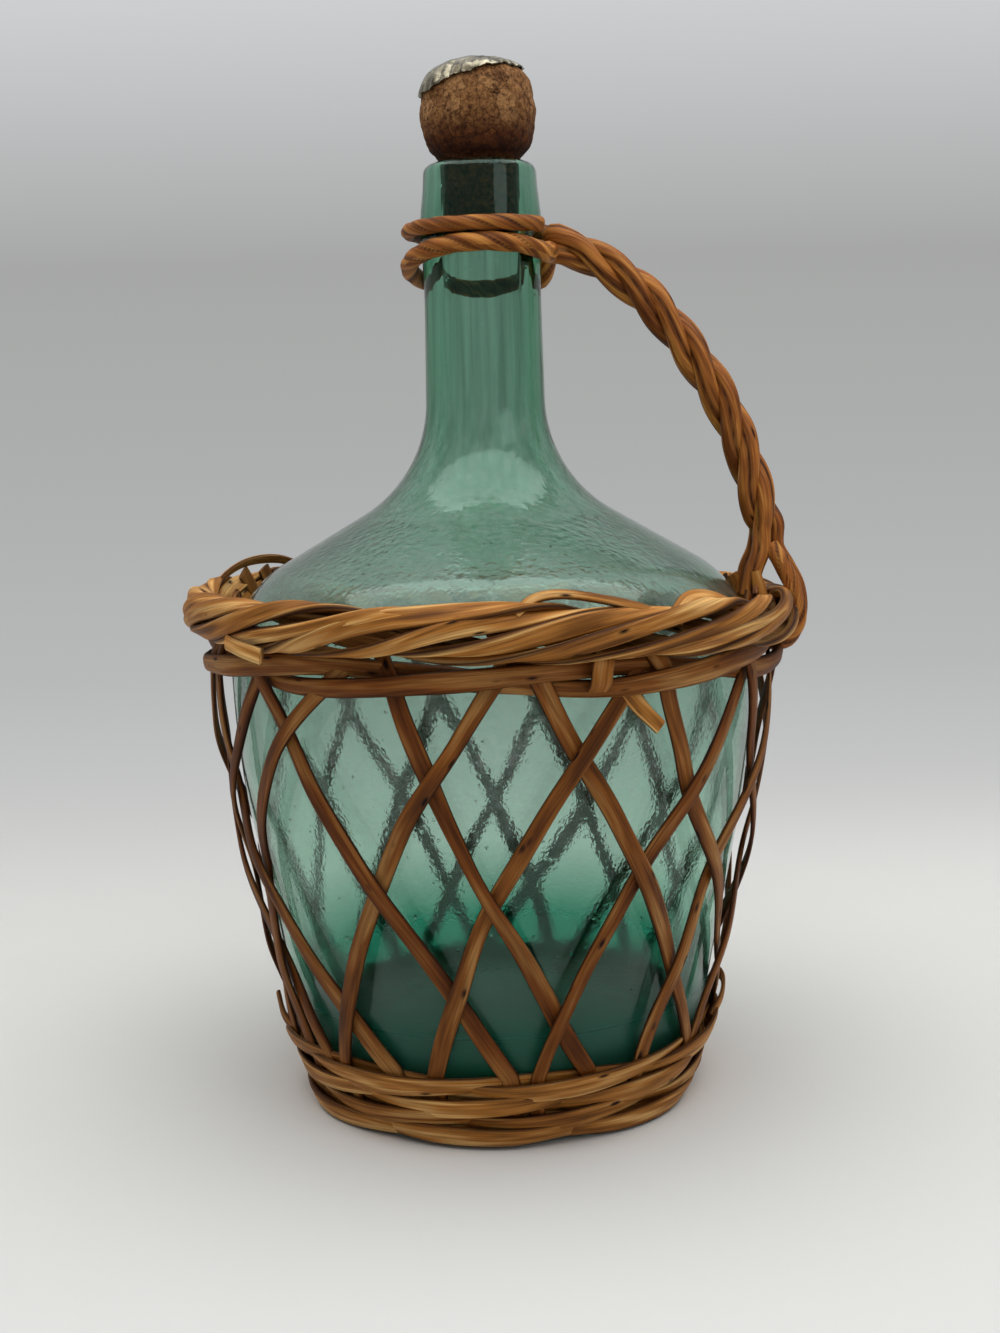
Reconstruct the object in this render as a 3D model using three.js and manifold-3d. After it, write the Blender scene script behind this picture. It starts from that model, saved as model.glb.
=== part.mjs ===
// Wicker demijohn: a hand-blown glass bottle standing in a basket of split willow, with a twisted
// willow handle from the rim to the neck, and a mushroom cork with a crimped metal disc.
// Millimetres, +Z up. The bottle's axis is the Z axis and the basket stands on Z = 0.
// The handle is towards +X and the front is towards -Y. Azimuths start at the front, +X at 90 degrees.
import * as THREE from "three";
import { mergeVertices } from "three/addons/utils/BufferGeometryUtils.js";
import Module from "manifold-3d";

const { degToRad, lerp, smoothstep } = THREE.MathUtils;
const up = new THREE.Vector3(0, 0, 1);

// Gap left between two pieces that touch.
const seatGap = 0.3;

// Bottle, measured from its standing ring.
const bottle = {
  height: 246.7,
  bodyRadius: 72.3,
  shoulderHeight: 114.2,
  shoulderRound: 30,
  shoulderSlope: degToRad(30),
  sideRound: 250,
  sideTaper: degToRad(10.9),
  heelRound: 13,
  ringWidth: 4,
  puntRise: 14,
  neckFillet: 36,
  neckBaseRadius: 16.3,
  neckRadius: 15.9,
  collarRadius: 16.5,
  collarDrop: 17,
  neckTopDrop: 33,
  lipRadius: 15.3,
  lipRound: 1.8,
  mouthRound: 1.2,
  boreRadius: 10.8,
  wall: 3.2,
  heelThickness: 5,
  floorThickness: 6,
  floorEdge: degToRad(3.4),
  sides: 22,
};

// Cork and the metal disc crimped on its head.
const cork = {
  length: 46.5,
  shankDepth: 19,
  headRadius: 15.5,
  chamfer: 0.8,
  headSteps: 10,
  sides: 20,
};
// Outline of the cork's head from throat to crown: shares of its radius and of its height.
const corkHeadShares = [
  [0.72, 0.05],
  [0.92, 0.21],
  [1, 0.48],
  [0.985, 0.68],
  [0.92, 0.85],
  [0.75, 0.965],
  [0.4, 0.995],
  [0, 1],
];
// The disc reaches from the crown down to this share of the outline's length.
const disc = { thickness: 0.6, reach: 0.64, flatShare: 0.8, flutes: 13, fluteDepth: 0.6, steps: 5 };

// Lattice of split willow stakes that lean right and left in pairs.
const lattice = {
  pairs: 14,
  firstPair: degToRad(5.9),
  pairHalfAngle: degToRad(3.4),
  rightLean: degToRad(43.6),
  leftLean: degToRad(47.4),
  rightBow: degToRad(-3.1),
  leftBow: degToRad(6.2),
  width: 4.8,
  thickness: 1.3,
  weaveClearance: 0.45,
  weaveEase: 16,
  topRise: 2.5,
  glassGapLow: 3.6,
  glassGapHigh: 4.9,
  stepsInRows: 1,
  stepsInWall: 9,
  stepsInRim: 3,
};

// Twined rows of the base: each a pair of flat strands that change places between the stakes.
const rows = {
  count: 4,
  strandWidth: 4,
  strandThickness: 1.2,
  pitch: 4.8,
  flare: Math.atan(0.39),
  swaps: 7,
  swapShare: 0.24,
  swapRise: 0.6,
  stakeSpread: 0.2,
  wear: 0.6,
};

// Twined band round the waist of the basket.
const waist = {
  rise: 3.5,
  strandWidth: 4.6,
  strandThickness: 1.8,
  swaps: 7,
  swapShare: 0.2,
  swapRise: 0.8,
  stakeSpread: 1.3,
};

// Rim: three strands laid into a rope.
const rim = {
  overhang: 7.7,
  rise: 15,
  strands: 3,
  turns: 4,
  layRadius: 2.9,
  layHeight: 4.2,
  width: 4.7,
  depth: 4.2,
  tuckDrop: 1.5,
  sides: 5,
  steps: 42,
};

// Base floor: crossed sticks fanned out as spokes, with flat weavers over and under them.
const base = {
  sticksEachWay: 3,
  stickPitch: 4.2,
  stickWidth: 3.2,
  stickThickness: 1.6,
  stickStep: 10.5,
  crossReach: 9,
  flatReach: 17,
  weavers: 4,
  weaverPitch: 7.9,
  weaverWidth: 6.4,
  weaverThickness: 1.3,
  weaverEase: 1.1,
};

// Handle: three willow rods laid into a rope, two of them one rod looped round the neck.
// The rope's ends are set from the collar and from the rim's crest, and each pull from its own end.
const handle = {
  neckEnd: new THREE.Vector2(8.5, -19.5),
  neckPull: new THREE.Vector2(20, 0.5),
  rimPull: new THREE.Vector2(-12.6, 42.5),
  rimEnd: new THREE.Vector2(-1.4, 3.7),
  strands: 3,
  layRadius: 2.75,
  turns: 3,
  ropeGirth: 1.86,
  loopGirth: 2.4,
  loopClearance: 0.75,
  roundness: 0.95,
  lowerLoopDrop: 26,
  lowerLoopTilt: 3.2,
  lowerLeave: degToRad(60),
  upperLoopDrop: 17.4,
  upperLeave: degToRad(112),
  upperStub: degToRad(52),
  ropeSteps: 24,
  loopStep: degToRad(30),
  longSteps: 96,
  shortSteps: 60,
  sides: 5,
};
// Ends of the rods, from the crest of the rim: two tuck in behind it and one stands over its outside.
const insideFoot = [new THREE.Vector3(-8.4, 4, 0.8), new THREE.Vector3(-9.6, 5, -1.4)];
const outsideFoot = [new THREE.Vector3(4.3, 0, 2.4), new THREE.Vector3(6.1, 0, -1.2)];

// Levels and radii that follow from the sizes above.
const footRowZ = rows.pitch / 2 - rows.wear;
const stickZ = rows.pitch + base.stickThickness / 2;
const stickTop = stickZ + base.stickThickness / 2;
const stakeFoot = stickTop + seatGap;
const firstUpperRowZ = stickTop + seatGap + rows.strandWidth / 2;
const rowsTop = firstUpperRowZ + (rows.count - 1.5) * rows.pitch;
const weaverRise = (base.stickThickness + base.weaverThickness) / 2 + seatGap;
const bottleFoot = stickZ + weaverRise + base.weaverThickness / 2 + seatGap;
const shoulderZ = bottleFoot + bottle.shoulderHeight;
const mouthZ = bottleFoot + bottle.height;
const waistZ = shoulderZ + waist.rise;
const rimZ = shoulderZ + rim.rise;
const rimRadius = bottle.bodyRadius + rim.overhang;
const rimCrest = new THREE.Vector3(rimRadius, 0, rimZ + rim.layHeight + rim.depth / 2);
const stakeTop = rimZ + lattice.topRise;
const pairSpacing = (2 * Math.PI) / lattice.pairs;

const willow = new THREE.MeshStandardMaterial({ color: 0xb98a4e, roughness: 0.6 });
const brownWillow = new THREE.MeshStandardMaterial({ color: 0x9a6236, roughness: 0.55 });
const greenGlass = new THREE.MeshStandardMaterial({ color: 0x8fb9a8, roughness: 0.1 });
const corkBark = new THREE.MeshStandardMaterial({ color: 0xa9764a, roughness: 0.9 });
const tinPlate = new THREE.MeshStandardMaterial({ color: 0xc9b58a, roughness: 0.35, metalness: 1 });

// A point at a radius, an azimuth from the front and a height.
function polar(radius, azimuth, z) {
  return new THREE.Vector3(radius * Math.sin(azimuth), -radius * Math.cos(azimuth), z);
}

function arc(centreR, centreZ, radius, from, to, steps) {
  const points = [];
  for (let i = 0; i <= steps; i += 1) {
    const angle = lerp(from, to, i / steps);
    points.push(new THREE.Vector2(centreR + radius * Math.cos(angle), centreZ + radius * Math.sin(angle)));
  }
  return points;
}

// Outline of the glass, up the outside and down the inside.
function bottleOutline() {
  const b = bottle;
  const quarter = Math.PI / 2;
  const shoulderR = b.bodyRadius - b.shoulderRound;
  const sideR = b.bodyRadius - b.sideRound;
  const shoulderEnd = quarter - b.shoulderSlope;
  const heelZ = bottleFoot + b.heelRound;
  const taperTop = new THREE.Vector2(
    sideR + b.sideRound * Math.cos(b.sideTaper),
    shoulderZ - b.sideRound * Math.sin(b.sideTaper),
  );
  const taperAtHeel = taperTop.x - (taperTop.y - heelZ) * Math.tan(b.sideTaper);
  const heelR = taperAtHeel - b.heelRound / Math.cos(b.sideTaper);
  const ringR = heelR - b.ringWidth;
  const puntRound = (ringR ** 2 + b.puntRise ** 2) / (2 * b.puntRise);
  const puntZ = bottleFoot + b.puntRise - puntRound;
  const innerHeelRound = b.heelRound - b.heelThickness;
  const innerHeelR = taperAtHeel - (b.wall + innerHeelRound) / Math.cos(b.sideTaper);

  // The neck's fillet starts where the shoulder's slope meets its tangent.
  const coneR = shoulderR + b.shoulderRound * Math.cos(shoulderEnd);
  const coneZ = shoulderZ + b.shoulderRound * Math.sin(shoulderEnd);
  const filletR = b.neckBaseRadius + b.neckFillet;
  const filletLowR = filletR - b.neckFillet * Math.cos(shoulderEnd);
  const filletLowZ = coneZ + (coneR - filletLowR) * Math.tan(b.shoulderSlope);
  const filletZ = filletLowZ + b.neckFillet * Math.sin(shoulderEnd);
  const puntEdge = quarter - Math.asin(ringR / puntRound);

  const outside = [
    ...arc(heelR, heelZ, b.heelRound, -quarter, -b.sideTaper, 4),
    ...arc(sideR, shoulderZ, b.sideRound, -b.sideTaper, 0, 4).slice(0, -1),
    ...arc(shoulderR, shoulderZ, b.shoulderRound, 0, shoulderEnd, 6),
    ...arc(filletR, filletZ, b.neckFillet, Math.PI + shoulderEnd, Math.PI, 5),
    new THREE.Vector2(b.neckRadius, mouthZ - b.neckTopDrop),
    new THREE.Vector2(b.collarRadius, mouthZ - b.collarDrop),
    ...arc(b.lipRadius - b.lipRound, mouthZ - b.lipRound, b.lipRound, 0, quarter, 3),
  ];
  const inside = [
    ...arc(b.boreRadius + b.mouthRound, mouthZ - b.mouthRound, b.mouthRound, quarter, Math.PI, 2),
    ...arc(filletR, filletZ, filletR - b.boreRadius, Math.PI, Math.PI + shoulderEnd, 4),
    ...arc(shoulderR, shoulderZ, b.shoulderRound - b.wall, shoulderEnd, 0, 4),
    ...arc(sideR, shoulderZ, b.sideRound - b.wall, 0, -b.sideTaper, 2).slice(1),
    ...arc(innerHeelR, heelZ, innerHeelRound, -b.sideTaper, -quarter, 2),
    ...arc(0, puntZ, puntRound + b.floorThickness, puntEdge + b.floorEdge, quarter, 3),
  ];
  const under = arc(0, puntZ, puntRound, quarter, puntEdge, 3);
  inside[inside.length - 1].x = 0;
  under[0].x = 0;
  return { outside, closed: [...under, ...outside, ...inside] };
}

const outline = bottleOutline();

// Outer radius of the glass at a height.
function glassRadius(z) {
  const side = outline.outside;
  for (let i = 1; i < side.length; i += 1) {
    if (z <= side[i].y) {
      const along = (z - side[i - 1].y) / (side[i].y - side[i - 1].y);
      return lerp(side[i - 1].x, side[i].x, Math.max(along, 0));
    }
  }
  return bottle.lipRadius;
}

// Radius of the surface midway through the basket's wall, and the slope of that surface.
const rowsTopRadius = glassRadius(rowsTop) + lattice.glassGapLow;
const rimInside = rimRadius - rim.layRadius - rim.depth / 2 - seatGap;
const weaveDepth = lattice.thickness / 2 + lattice.weaveClearance;
const stakeTopRadius = rimInside - weaveDepth - lattice.thickness / 2;

function basketRadius(z) {
  if (z <= rowsTop) {
    return rowsTopRadius - (rowsTop - z) * Math.tan(rows.flare);
  }
  const gap = lerp(lattice.glassGapLow, lattice.glassGapHigh, smoothstep(z, rowsTop, waistZ));
  const onGlass = glassRadius(Math.min(z, waistZ)) + gap;
  return lerp(onGlass, stakeTopRadius, smoothstep(z, waistZ, rimZ - rim.tuckDrop));
}

function basketSlope(z) {
  const reach = 2;
  return (basketRadius(z + reach) - basketRadius(z - reach)) / (2 * reach);
}

// A split-willow strand: a centre line, the way its broad side faces, and where its cross-sections sit.
class Strand extends THREE.Curve {
  constructor(place, stations) {
    super();
    this.place = place;
    this.stations = stations;
  }

  getPoint(t, target = new THREE.Vector3()) {
    return target.copy(this.place(t).point);
  }

  getSpacedPoints() {
    return this.stations.map((t) => this.getPoint(t));
  }

  computeFrenetFrames() {
    const tangents = [];
    const normals = [];
    const binormals = [];
    for (const t of this.stations) {
      const tangent = this.getTangent(t);
      const binormal = new THREE.Vector3().crossVectors(tangent, this.place(t).facing).normalize();
      tangents.push(tangent);
      binormals.push(binormal);
      normals.push(new THREE.Vector3().crossVectors(binormal, tangent));
    }
    return { tangents, normals, binormals };
  }
}

// A round willow rod whose girth changes along its length.
class Rod extends THREE.CatmullRomCurve3 {
  constructor(points, girths, steps) {
    super(points);
    this.girths = girths;
    this.arcLengthDivisions = 600;
    this.stations = evenly(steps);
  }

  girth(u) {
    const at = this.getUtoTmapping(u) * (this.girths.length - 1);
    const low = Math.min(Math.floor(at), this.girths.length - 2);
    return lerp(this.girths[low], this.girths[low + 1], at - low);
  }

  computeFrenetFrames(segments, closed) {
    const frames = super.computeFrenetFrames(segments, closed);
    frames.normals.forEach((normal, i) => normal.multiplyScalar(this.girth(i / segments)));
    frames.binormals.forEach((binormal, i) => binormal.multiplyScalar(this.girth(i / segments)));
    return frames;
  }
}

// Cross-section of a strand: a polygon drawn round an oval, thickness across and width along.
function ovalSection(thickness, width, sides) {
  const corners = [];
  for (let i = 0; i < sides; i += 1) {
    const angle = ((i + 0.5) / sides) * 2 * Math.PI;
    const reach = 1 / Math.cos(Math.PI / sides);
    corners.push(new THREE.Vector2(
      (thickness / 2) * reach * Math.cos(angle),
      (width / 2) * reach * Math.sin(angle),
    ));
  }
  return new THREE.Shape(corners);
}

function solid(name, geometry, material) {
  const bare = geometry.clone();
  bare.deleteAttribute("uv");
  bare.deleteAttribute("normal");
  const mesh = new THREE.Mesh(mergeVertices(bare, 1e-4), material);
  mesh.name = name;
  return mesh;
}

function sweep(name, path, section, material) {
  const steps = path.stations.length - 1;
  const geometry = new THREE.ExtrudeGeometry(section, { steps, extrudePath: path, bevelEnabled: false });
  return solid(name, geometry, material);
}

function label(word, index) {
  return `${word}_${String(index + 1).padStart(2, "0")}`;
}

function evenly(steps) {
  return Array.from({ length: steps + 1 }, (_, i) => i / steps);
}

// One stake: upright in the base rows, leaning and bowed across the body, woven over and under as it goes.
function stakePath(pair, lean) {
  const place = (t) => {
    const z = lerp(stakeFoot, stakeTop, t);
    const climbed = Math.max(z - rowsTop, 0) / (waistZ - rowsTop);
    const bowed = 4 * climbed * Math.max(1 - climbed, 0);
    const right = lattice.pairHalfAngle + lattice.rightLean * climbed + lattice.rightBow * bowed;
    const left = lattice.pairHalfAngle + lattice.leftLean * climbed + lattice.leftBow * bowed;
    const azimuth = lattice.firstPair + pair * pairSpacing + (lean > 0 ? right : -left);
    const apart = right + left;
    const weave = weaveDepth * smoothstep(z, rowsTop, rowsTop + lattice.weaveEase);
    const radius = basketRadius(z) - lean * weave * Math.cos((Math.PI * apart) / pairSpacing);
    const facing = polar(1, azimuth, -basketSlope(z)).normalize();
    return { point: polar(radius, azimuth, z), facing };
  };
  const levels = [
    ...evenly(lattice.stepsInRows).map((u) => lerp(stakeFoot, rowsTop, u)),
    ...evenly(lattice.stepsInWall).slice(1).map((u) => lerp(rowsTop, waistZ, u)),
    ...evenly(lattice.stepsInRim).slice(1).map((u) => lerp(waistZ, stakeTop, u)),
  ];
  return new Strand(place, levels.map((z) => (z - stakeFoot) / (stakeTop - stakeFoot)));
}

function latticeStakes() {
  const section = ovalSection(lattice.thickness, lattice.width, 4);
  const stakes = [];
  for (let pair = 0; pair < lattice.pairs; pair += 1) {
    stakes.push(sweep(label("right_stake", pair), stakePath(pair, 1), section, willow));
    stakes.push(sweep(label("left_stake", pair), stakePath(pair, -1), section, willow));
  }
  return stakes;
}

// One of the two strands of a twined row. Where it changes sides it turns half round its partner.
function twinedPath(row, side) {
  const endGap = seatGap / row.radius;
  const half = row.swapShare / 2;
  const place = (t) => {
    const swap = Math.min(Math.floor(t * row.swaps), row.swaps - 1);
    const turn = Math.PI * (side + swap + smoothstep(t * row.swaps - swap, 0.5 - half, 0.5 + half));
    const azimuth = row.start + lerp(endGap, 2 * Math.PI - endGap, t);
    const across = polar(Math.cos(row.tilt), azimuth, -Math.sin(row.tilt));
    const upward = polar(Math.sin(row.tilt), azimuth, Math.cos(row.tilt));
    const facing = across.clone().multiplyScalar(Math.cos(turn)).addScaledVector(upward, Math.sin(turn));
    const point = polar(row.radius, azimuth, row.z)
      .addScaledVector(across, row.reach * Math.cos(turn))
      .addScaledVector(upward, row.rise * Math.sin(turn));
    return { point, facing };
  };
  const plateau = [0, 0.25 - half / 2];
  // Quarters of the half turn, where the eased turn reaches them.
  const quarter = 0.35 * half;
  const change = [0.5 - half, 0.5 - quarter, 0.5, 0.5 + quarter, 0.5 + half];
  const shares = [...plateau, ...change, 0.75 + half / 2];
  const stations = [];
  for (let swap = 0; swap < row.swaps; swap += 1) {
    stations.push(...shares.map((share) => (swap + share) / row.swaps));
  }
  stations.push(1);
  return new Strand(place, stations);
}

function twinedPair(name, row) {
  const section = ovalSection(row.strandThickness, row.strandWidth, 4);
  return ["a", "b"].map((letter, side) => {
    const path = twinedPath(row, side);
    return sweep(`${name}_${letter}`, path, section, willow);
  });
}

// Half the distance between the two strands of a twined row, beside the stakes and between them.
function twinedReach(row) {
  return (lattice.thickness + row.strandThickness) / 2 + row.stakeSpread + seatGap;
}

function twinedRise(row) {
  return (row.strandThickness + seatGap) / 2 + row.swapRise;
}

// The rows start halfway between two stake pairs at the back, each a pair further on than the last.
const backPair = lattice.firstPair + Math.round(lattice.pairs / 2) * pairSpacing;

function baseRows() {
  const strands = [];
  for (let row = 0; row < rows.count; row += 1) {
    const z = row === 0 ? footRowZ : firstUpperRowZ + (row - 1) * rows.pitch;
    strands.push(...twinedPair(label("base_row", row), {
      ...rows,
      z,
      radius: basketRadius(z),
      tilt: rows.flare,
      reach: twinedReach(rows),
      rise: twinedRise(rows),
      start: backPair + (row + 0.5) * pairSpacing,
    }));
  }
  return strands;
}

function waistBand() {
  const drift = (lattice.rightLean - lattice.leftLean) / 2;
  return twinedPair("waist_strand", {
    ...waist,
    z: waistZ,
    radius: basketRadius(waistZ),
    tilt: Math.atan(basketSlope(waistZ)),
    reach: twinedReach(waist),
    rise: twinedRise(waist),
    start: backPair + drift + pairSpacing / 2,
  });
}

// Rim rope: each strand winds round the rope's own centre as the rope goes round the basket.
function rimStrands() {
  const section = ovalSection(rim.depth, rim.width, rim.sides);
  const endGap = seatGap / rimRadius;
  return Array.from({ length: rim.strands }, (_, strand) => {
    const place = (t) => {
      const azimuth = Math.PI + lerp(endGap, 2 * Math.PI - endGap, t);
      const turn = 2 * Math.PI * (rim.turns * t + strand / rim.strands);
      const outward = polar(rim.layRadius * Math.cos(turn), azimuth, rim.layHeight * Math.sin(turn));
      const facing = polar(Math.cos(turn), azimuth, Math.sin(turn));
      return { point: polar(rimRadius, azimuth, rimZ).add(outward), facing };
    };
    return sweep(label("rim_strand", strand), new Strand(place, evenly(rim.steps)), section, willow);
  });
}

// Base sticks: three one way under three the other way, each group fanned out towards the foot.
function baseSticks() {
  const section = ovalSection(base.stickThickness, base.stickWidth, 4);
  const fan = Math.PI / (2 * base.sticksEachWay);
  const step = (base.stickThickness + seatGap) / 2;
  const reach = basketRadius(stickZ);
  const steps = Math.round(2 * reach / base.stickStep);
  const sticks = [];
  for (let way = 0; way < 2; way += 1) {
    for (let i = 0; i < base.sticksEachWay; i += 1) {
      const off = i - (base.sticksEachWay - 1) / 2;
      const endX = reach * Math.cos(off * fan);
      const endY = reach * Math.sin(off * fan);
      const place = (t) => {
        const x = lerp(-endX, endX, t);
        const fanned = Math.max(Math.abs(x) - base.crossReach, 0) / (endX - base.crossReach);
        const lift = step * (1 - smoothstep(Math.abs(x), base.crossReach, base.flatReach));
        const point = new THREE.Vector3(x, lerp(off * base.stickPitch, endY, fanned), 0);
        point.applyAxisAngle(up, way * Math.PI / 2);
        point.z = stickZ + (way === 0 ? -lift : lift);
        return { point, facing: up };
      };
      const path = new Strand(place, evenly(steps));
      sticks.push(sweep(label("base_stick", sticks.length), path, section, willow));
    }
  }
  return sticks;
}

// Flat weavers of the base, over one spoke and under the next.
function baseWeavers() {
  const section = ovalSection(base.weaverThickness, base.weaverWidth, 4);
  const spokes = 4 * base.sticksEachWay;
  const spacing = (2 * Math.PI) / spokes;
  const footInside = basketRadius(footRowZ) - twinedReach(rows) - rows.strandThickness / 2;
  const outermost = footInside - base.weaverWidth / 2 - seatGap;
  return Array.from({ length: base.weavers }, (_, ring) => {
    const radius = outermost - (base.weavers - 1 - ring) * base.weaverPitch;
    const flat = (base.stickWidth / 2 + base.weaverEase) / (radius * spacing);
    const cut = seatGap / (radius * spacing);
    const side = (spoke) => ((spoke + ring) % 2 === 0 ? 1 : -1);
    const place = (t) => {
      const along = lerp(0.5 + cut, spokes + 0.5 - cut, t);
      const spoke = Math.floor(along);
      const change = smoothstep(along - spoke, flat, 1 - flat);
      const z = stickZ + weaverRise * lerp(side(spoke), side(spoke + 1), change);
      return { point: polar(radius, along * spacing, z), facing: up };
    };
    const stations = [0];
    for (let spoke = 1; spoke <= spokes; spoke += 1) {
      for (const along of [spoke - flat, spoke + flat]) {
        stations.push((along - 0.5 - cut) / (spokes - 2 * cut));
      }
    }
    stations.push(1);
    return sweep(label("base_weaver", ring), new Strand(place, stations), section, willow);
  });
}

// Points along one strand of the handle's rope, from the neck to the rim, at a share of a turn round it.
function ropePoints(share) {
  const neckEnd = new THREE.Vector2(bottle.collarRadius, mouthZ).add(handle.neckEnd);
  const rimEnd = new THREE.Vector2(rimCrest.x, rimCrest.z).add(handle.rimEnd);
  const neckPull = neckEnd.clone().add(handle.neckPull);
  const rimPull = rimEnd.clone().add(handle.rimPull);
  const centre = new THREE.CubicBezierCurve(neckEnd, neckPull, rimPull, rimEnd);
  const points = [];
  for (let i = 0; i <= handle.ropeSteps; i += 1) {
    const u = i / handle.ropeSteps;
    const at = centre.getPointAt(u);
    const along = centre.getTangentAt(u);
    const turn = 2 * Math.PI * (share - handle.turns * u);
    const out = handle.layRadius * Math.cos(turn);
    const aside = handle.layRadius * Math.sin(turn);
    points.push(new THREE.Vector3(at.x - along.y * out, aside, at.y + along.x * out));
  }
  return points;
}

// Points of a loop round the neck between two azimuths.
function loopPoints(from, to, z, tilt) {
  const radius = bottle.collarRadius + handle.loopClearance + handle.loopGirth;
  const steps = Math.round(Math.abs(to - from) / handle.loopStep);
  return Array.from({ length: steps + 1 }, (_, i) => {
    const azimuth = lerp(from, to, i / steps);
    return polar(radius, azimuth, z + tilt * Math.cos(azimuth));
  });
}

function handleRod(name, steps, runs) {
  const points = runs.flatMap((run) => run.points);
  const girths = runs.flatMap((run) => run.points.map(() => run.girth));
  const section = ovalSection(2 * handle.roundness, 2 * handle.roundness, handle.sides);
  return sweep(name, new Rod(points, girths, steps), section, brownWillow);
}

// The long rod makes two strands of the rope and the lower loop. The short one makes the third strand
// and the upper loop, and ends in a cut stub at the front. Their feet straddle the rim.
function handleRods() {
  const { ropeGirth, loopGirth, lowerLeave, lowerLoopTilt, upperLeave, upperStub } = handle;
  const lowerLoopZ = mouthZ - handle.lowerLoopDrop;
  const upperLoopZ = mouthZ - handle.upperLoopDrop;
  const foot = (points, side) => points.map(({ x, y, z }) => new THREE.Vector3(x, side * y, z).add(rimCrest));
  const run = (points, girth) => ({ points, girth });
  const [top, back, front] = evenly(handle.strands).slice(0, -1).map(ropePoints);
  const longRod = handleRod("handle_long_rod", handle.longSteps, [
    run(foot(insideFoot, -1).reverse(), ropeGirth),
    run(front.reverse(), ropeGirth),
    run(loopPoints(lowerLeave, -Math.PI - lowerLeave, lowerLoopZ, lowerLoopTilt), loopGirth),
    run(back, ropeGirth),
    run(foot(insideFoot, 1), ropeGirth),
  ]);
  const shortRod = handleRod("handle_short_rod", handle.shortSteps, [
    run(foot(outsideFoot, 1).reverse(), ropeGirth),
    run(top.reverse(), ropeGirth),
    run(loopPoints(upperLeave, 2 * Math.PI + upperStub, upperLoopZ, 0), loopGirth),
  ]);
  return [longRod, shortRod];
}

// Cork outline above the mouth, as a curve from the throat to the middle of the crown.
function corkHead() {
  const rise = cork.length - cork.shankDepth;
  const shape = ([across, high]) => new THREE.Vector2(across * cork.headRadius, mouthZ + high * rise);
  return new THREE.SplineCurve(corkHeadShares.map(shape));
}

function corkStopper() {
  const shankRadius = bottle.boreRadius - seatGap;
  const foot = mouthZ - cork.shankDepth;
  const head = corkHead().getPoints(cork.headSteps);
  head[head.length - 1].x = 0;
  const profile = [
    new THREE.Vector2(0, foot),
    new THREE.Vector2(shankRadius - cork.chamfer, foot),
    new THREE.Vector2(shankRadius, foot + cork.chamfer),
    new THREE.Vector2(shankRadius, mouthZ),
    ...head,
  ];
  return turned("cork_stopper", profile, cork.sides, corkBark);
}

// The disc follows the cork's crown, and its edge is crimped into flutes.
function stopperCap() {
  const head = corkHead();
  const side = (offset) => evenly(disc.steps).map((u) => {
    const t = lerp(1, disc.reach, u);
    const along = head.getTangent(t);
    const point = head.getPoint(t).add(new THREE.Vector2(along.y, -along.x).multiplyScalar(offset));
    return u === 0 ? new THREE.Vector2(0, head.getPoint(1).y + offset) : point;
  });
  const profile = [...side(seatGap), ...side(seatGap + disc.thickness).reverse()];
  const cap = turned("stopper_cap", profile, 2 * disc.flutes, tinPlate);
  const place = cap.geometry.attributes.position;
  const edge = Math.max(...profile.map((point) => point.x));
  for (let i = 0; i < place.count; i += 1) {
    const radius = Math.hypot(place.getX(i), place.getY(i));
    const azimuth = Math.atan2(place.getY(i), place.getX(i));
    const crimp = disc.fluteDepth * smoothstep(radius, disc.flatShare * edge, edge);
    const grow = radius > 0 ? 1 + crimp * (0.5 + 0.5 * Math.cos(disc.flutes * azimuth)) / radius : 1;
    place.setXYZ(i, place.getX(i) * grow, place.getY(i) * grow, place.getZ(i));
  }
  return cap;
}

function turned(name, profile, sides, material) {
  return solid(name, new THREE.LatheGeometry(profile, sides).rotateX(Math.PI / 2), material);
}

// The lowest row is worn flat where the basket stands.
const manifold = await Module();
manifold.setup();

function wornFlat(mesh) {
  const body = new manifold.Manifold(new manifold.Mesh({
    numProp: 3,
    vertProperties: Float32Array.from(mesh.geometry.attributes.position.array),
    triVerts: Uint32Array.from(mesh.geometry.index.array),
  }));
  const cut = body.trimByPlane([0, 0, 1], 0).getMesh();
  const geometry = new THREE.BufferGeometry();
  geometry.setAttribute("position", new THREE.BufferAttribute(cut.vertProperties, cut.numProp));
  geometry.setIndex(new THREE.BufferAttribute(cut.triVerts, 1));
  mesh.geometry = geometry;
}

const group = new THREE.Group();
group.name = "wicker_demijohn";
const rowStrands = baseRows();
rowStrands.slice(0, 2).forEach(wornFlat);
group.add(turned("glass_bottle", outline.closed, bottle.sides, greenGlass));
group.add(corkStopper(), stopperCap());
group.add(...latticeStakes());
group.add(...rowStrands, ...waistBand(), ...rimStrands());
group.add(...baseSticks(), ...baseWeavers());
group.add(...handleRods());

export default group;
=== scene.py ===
import math
import random

import bpy
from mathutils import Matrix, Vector, noise


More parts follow.
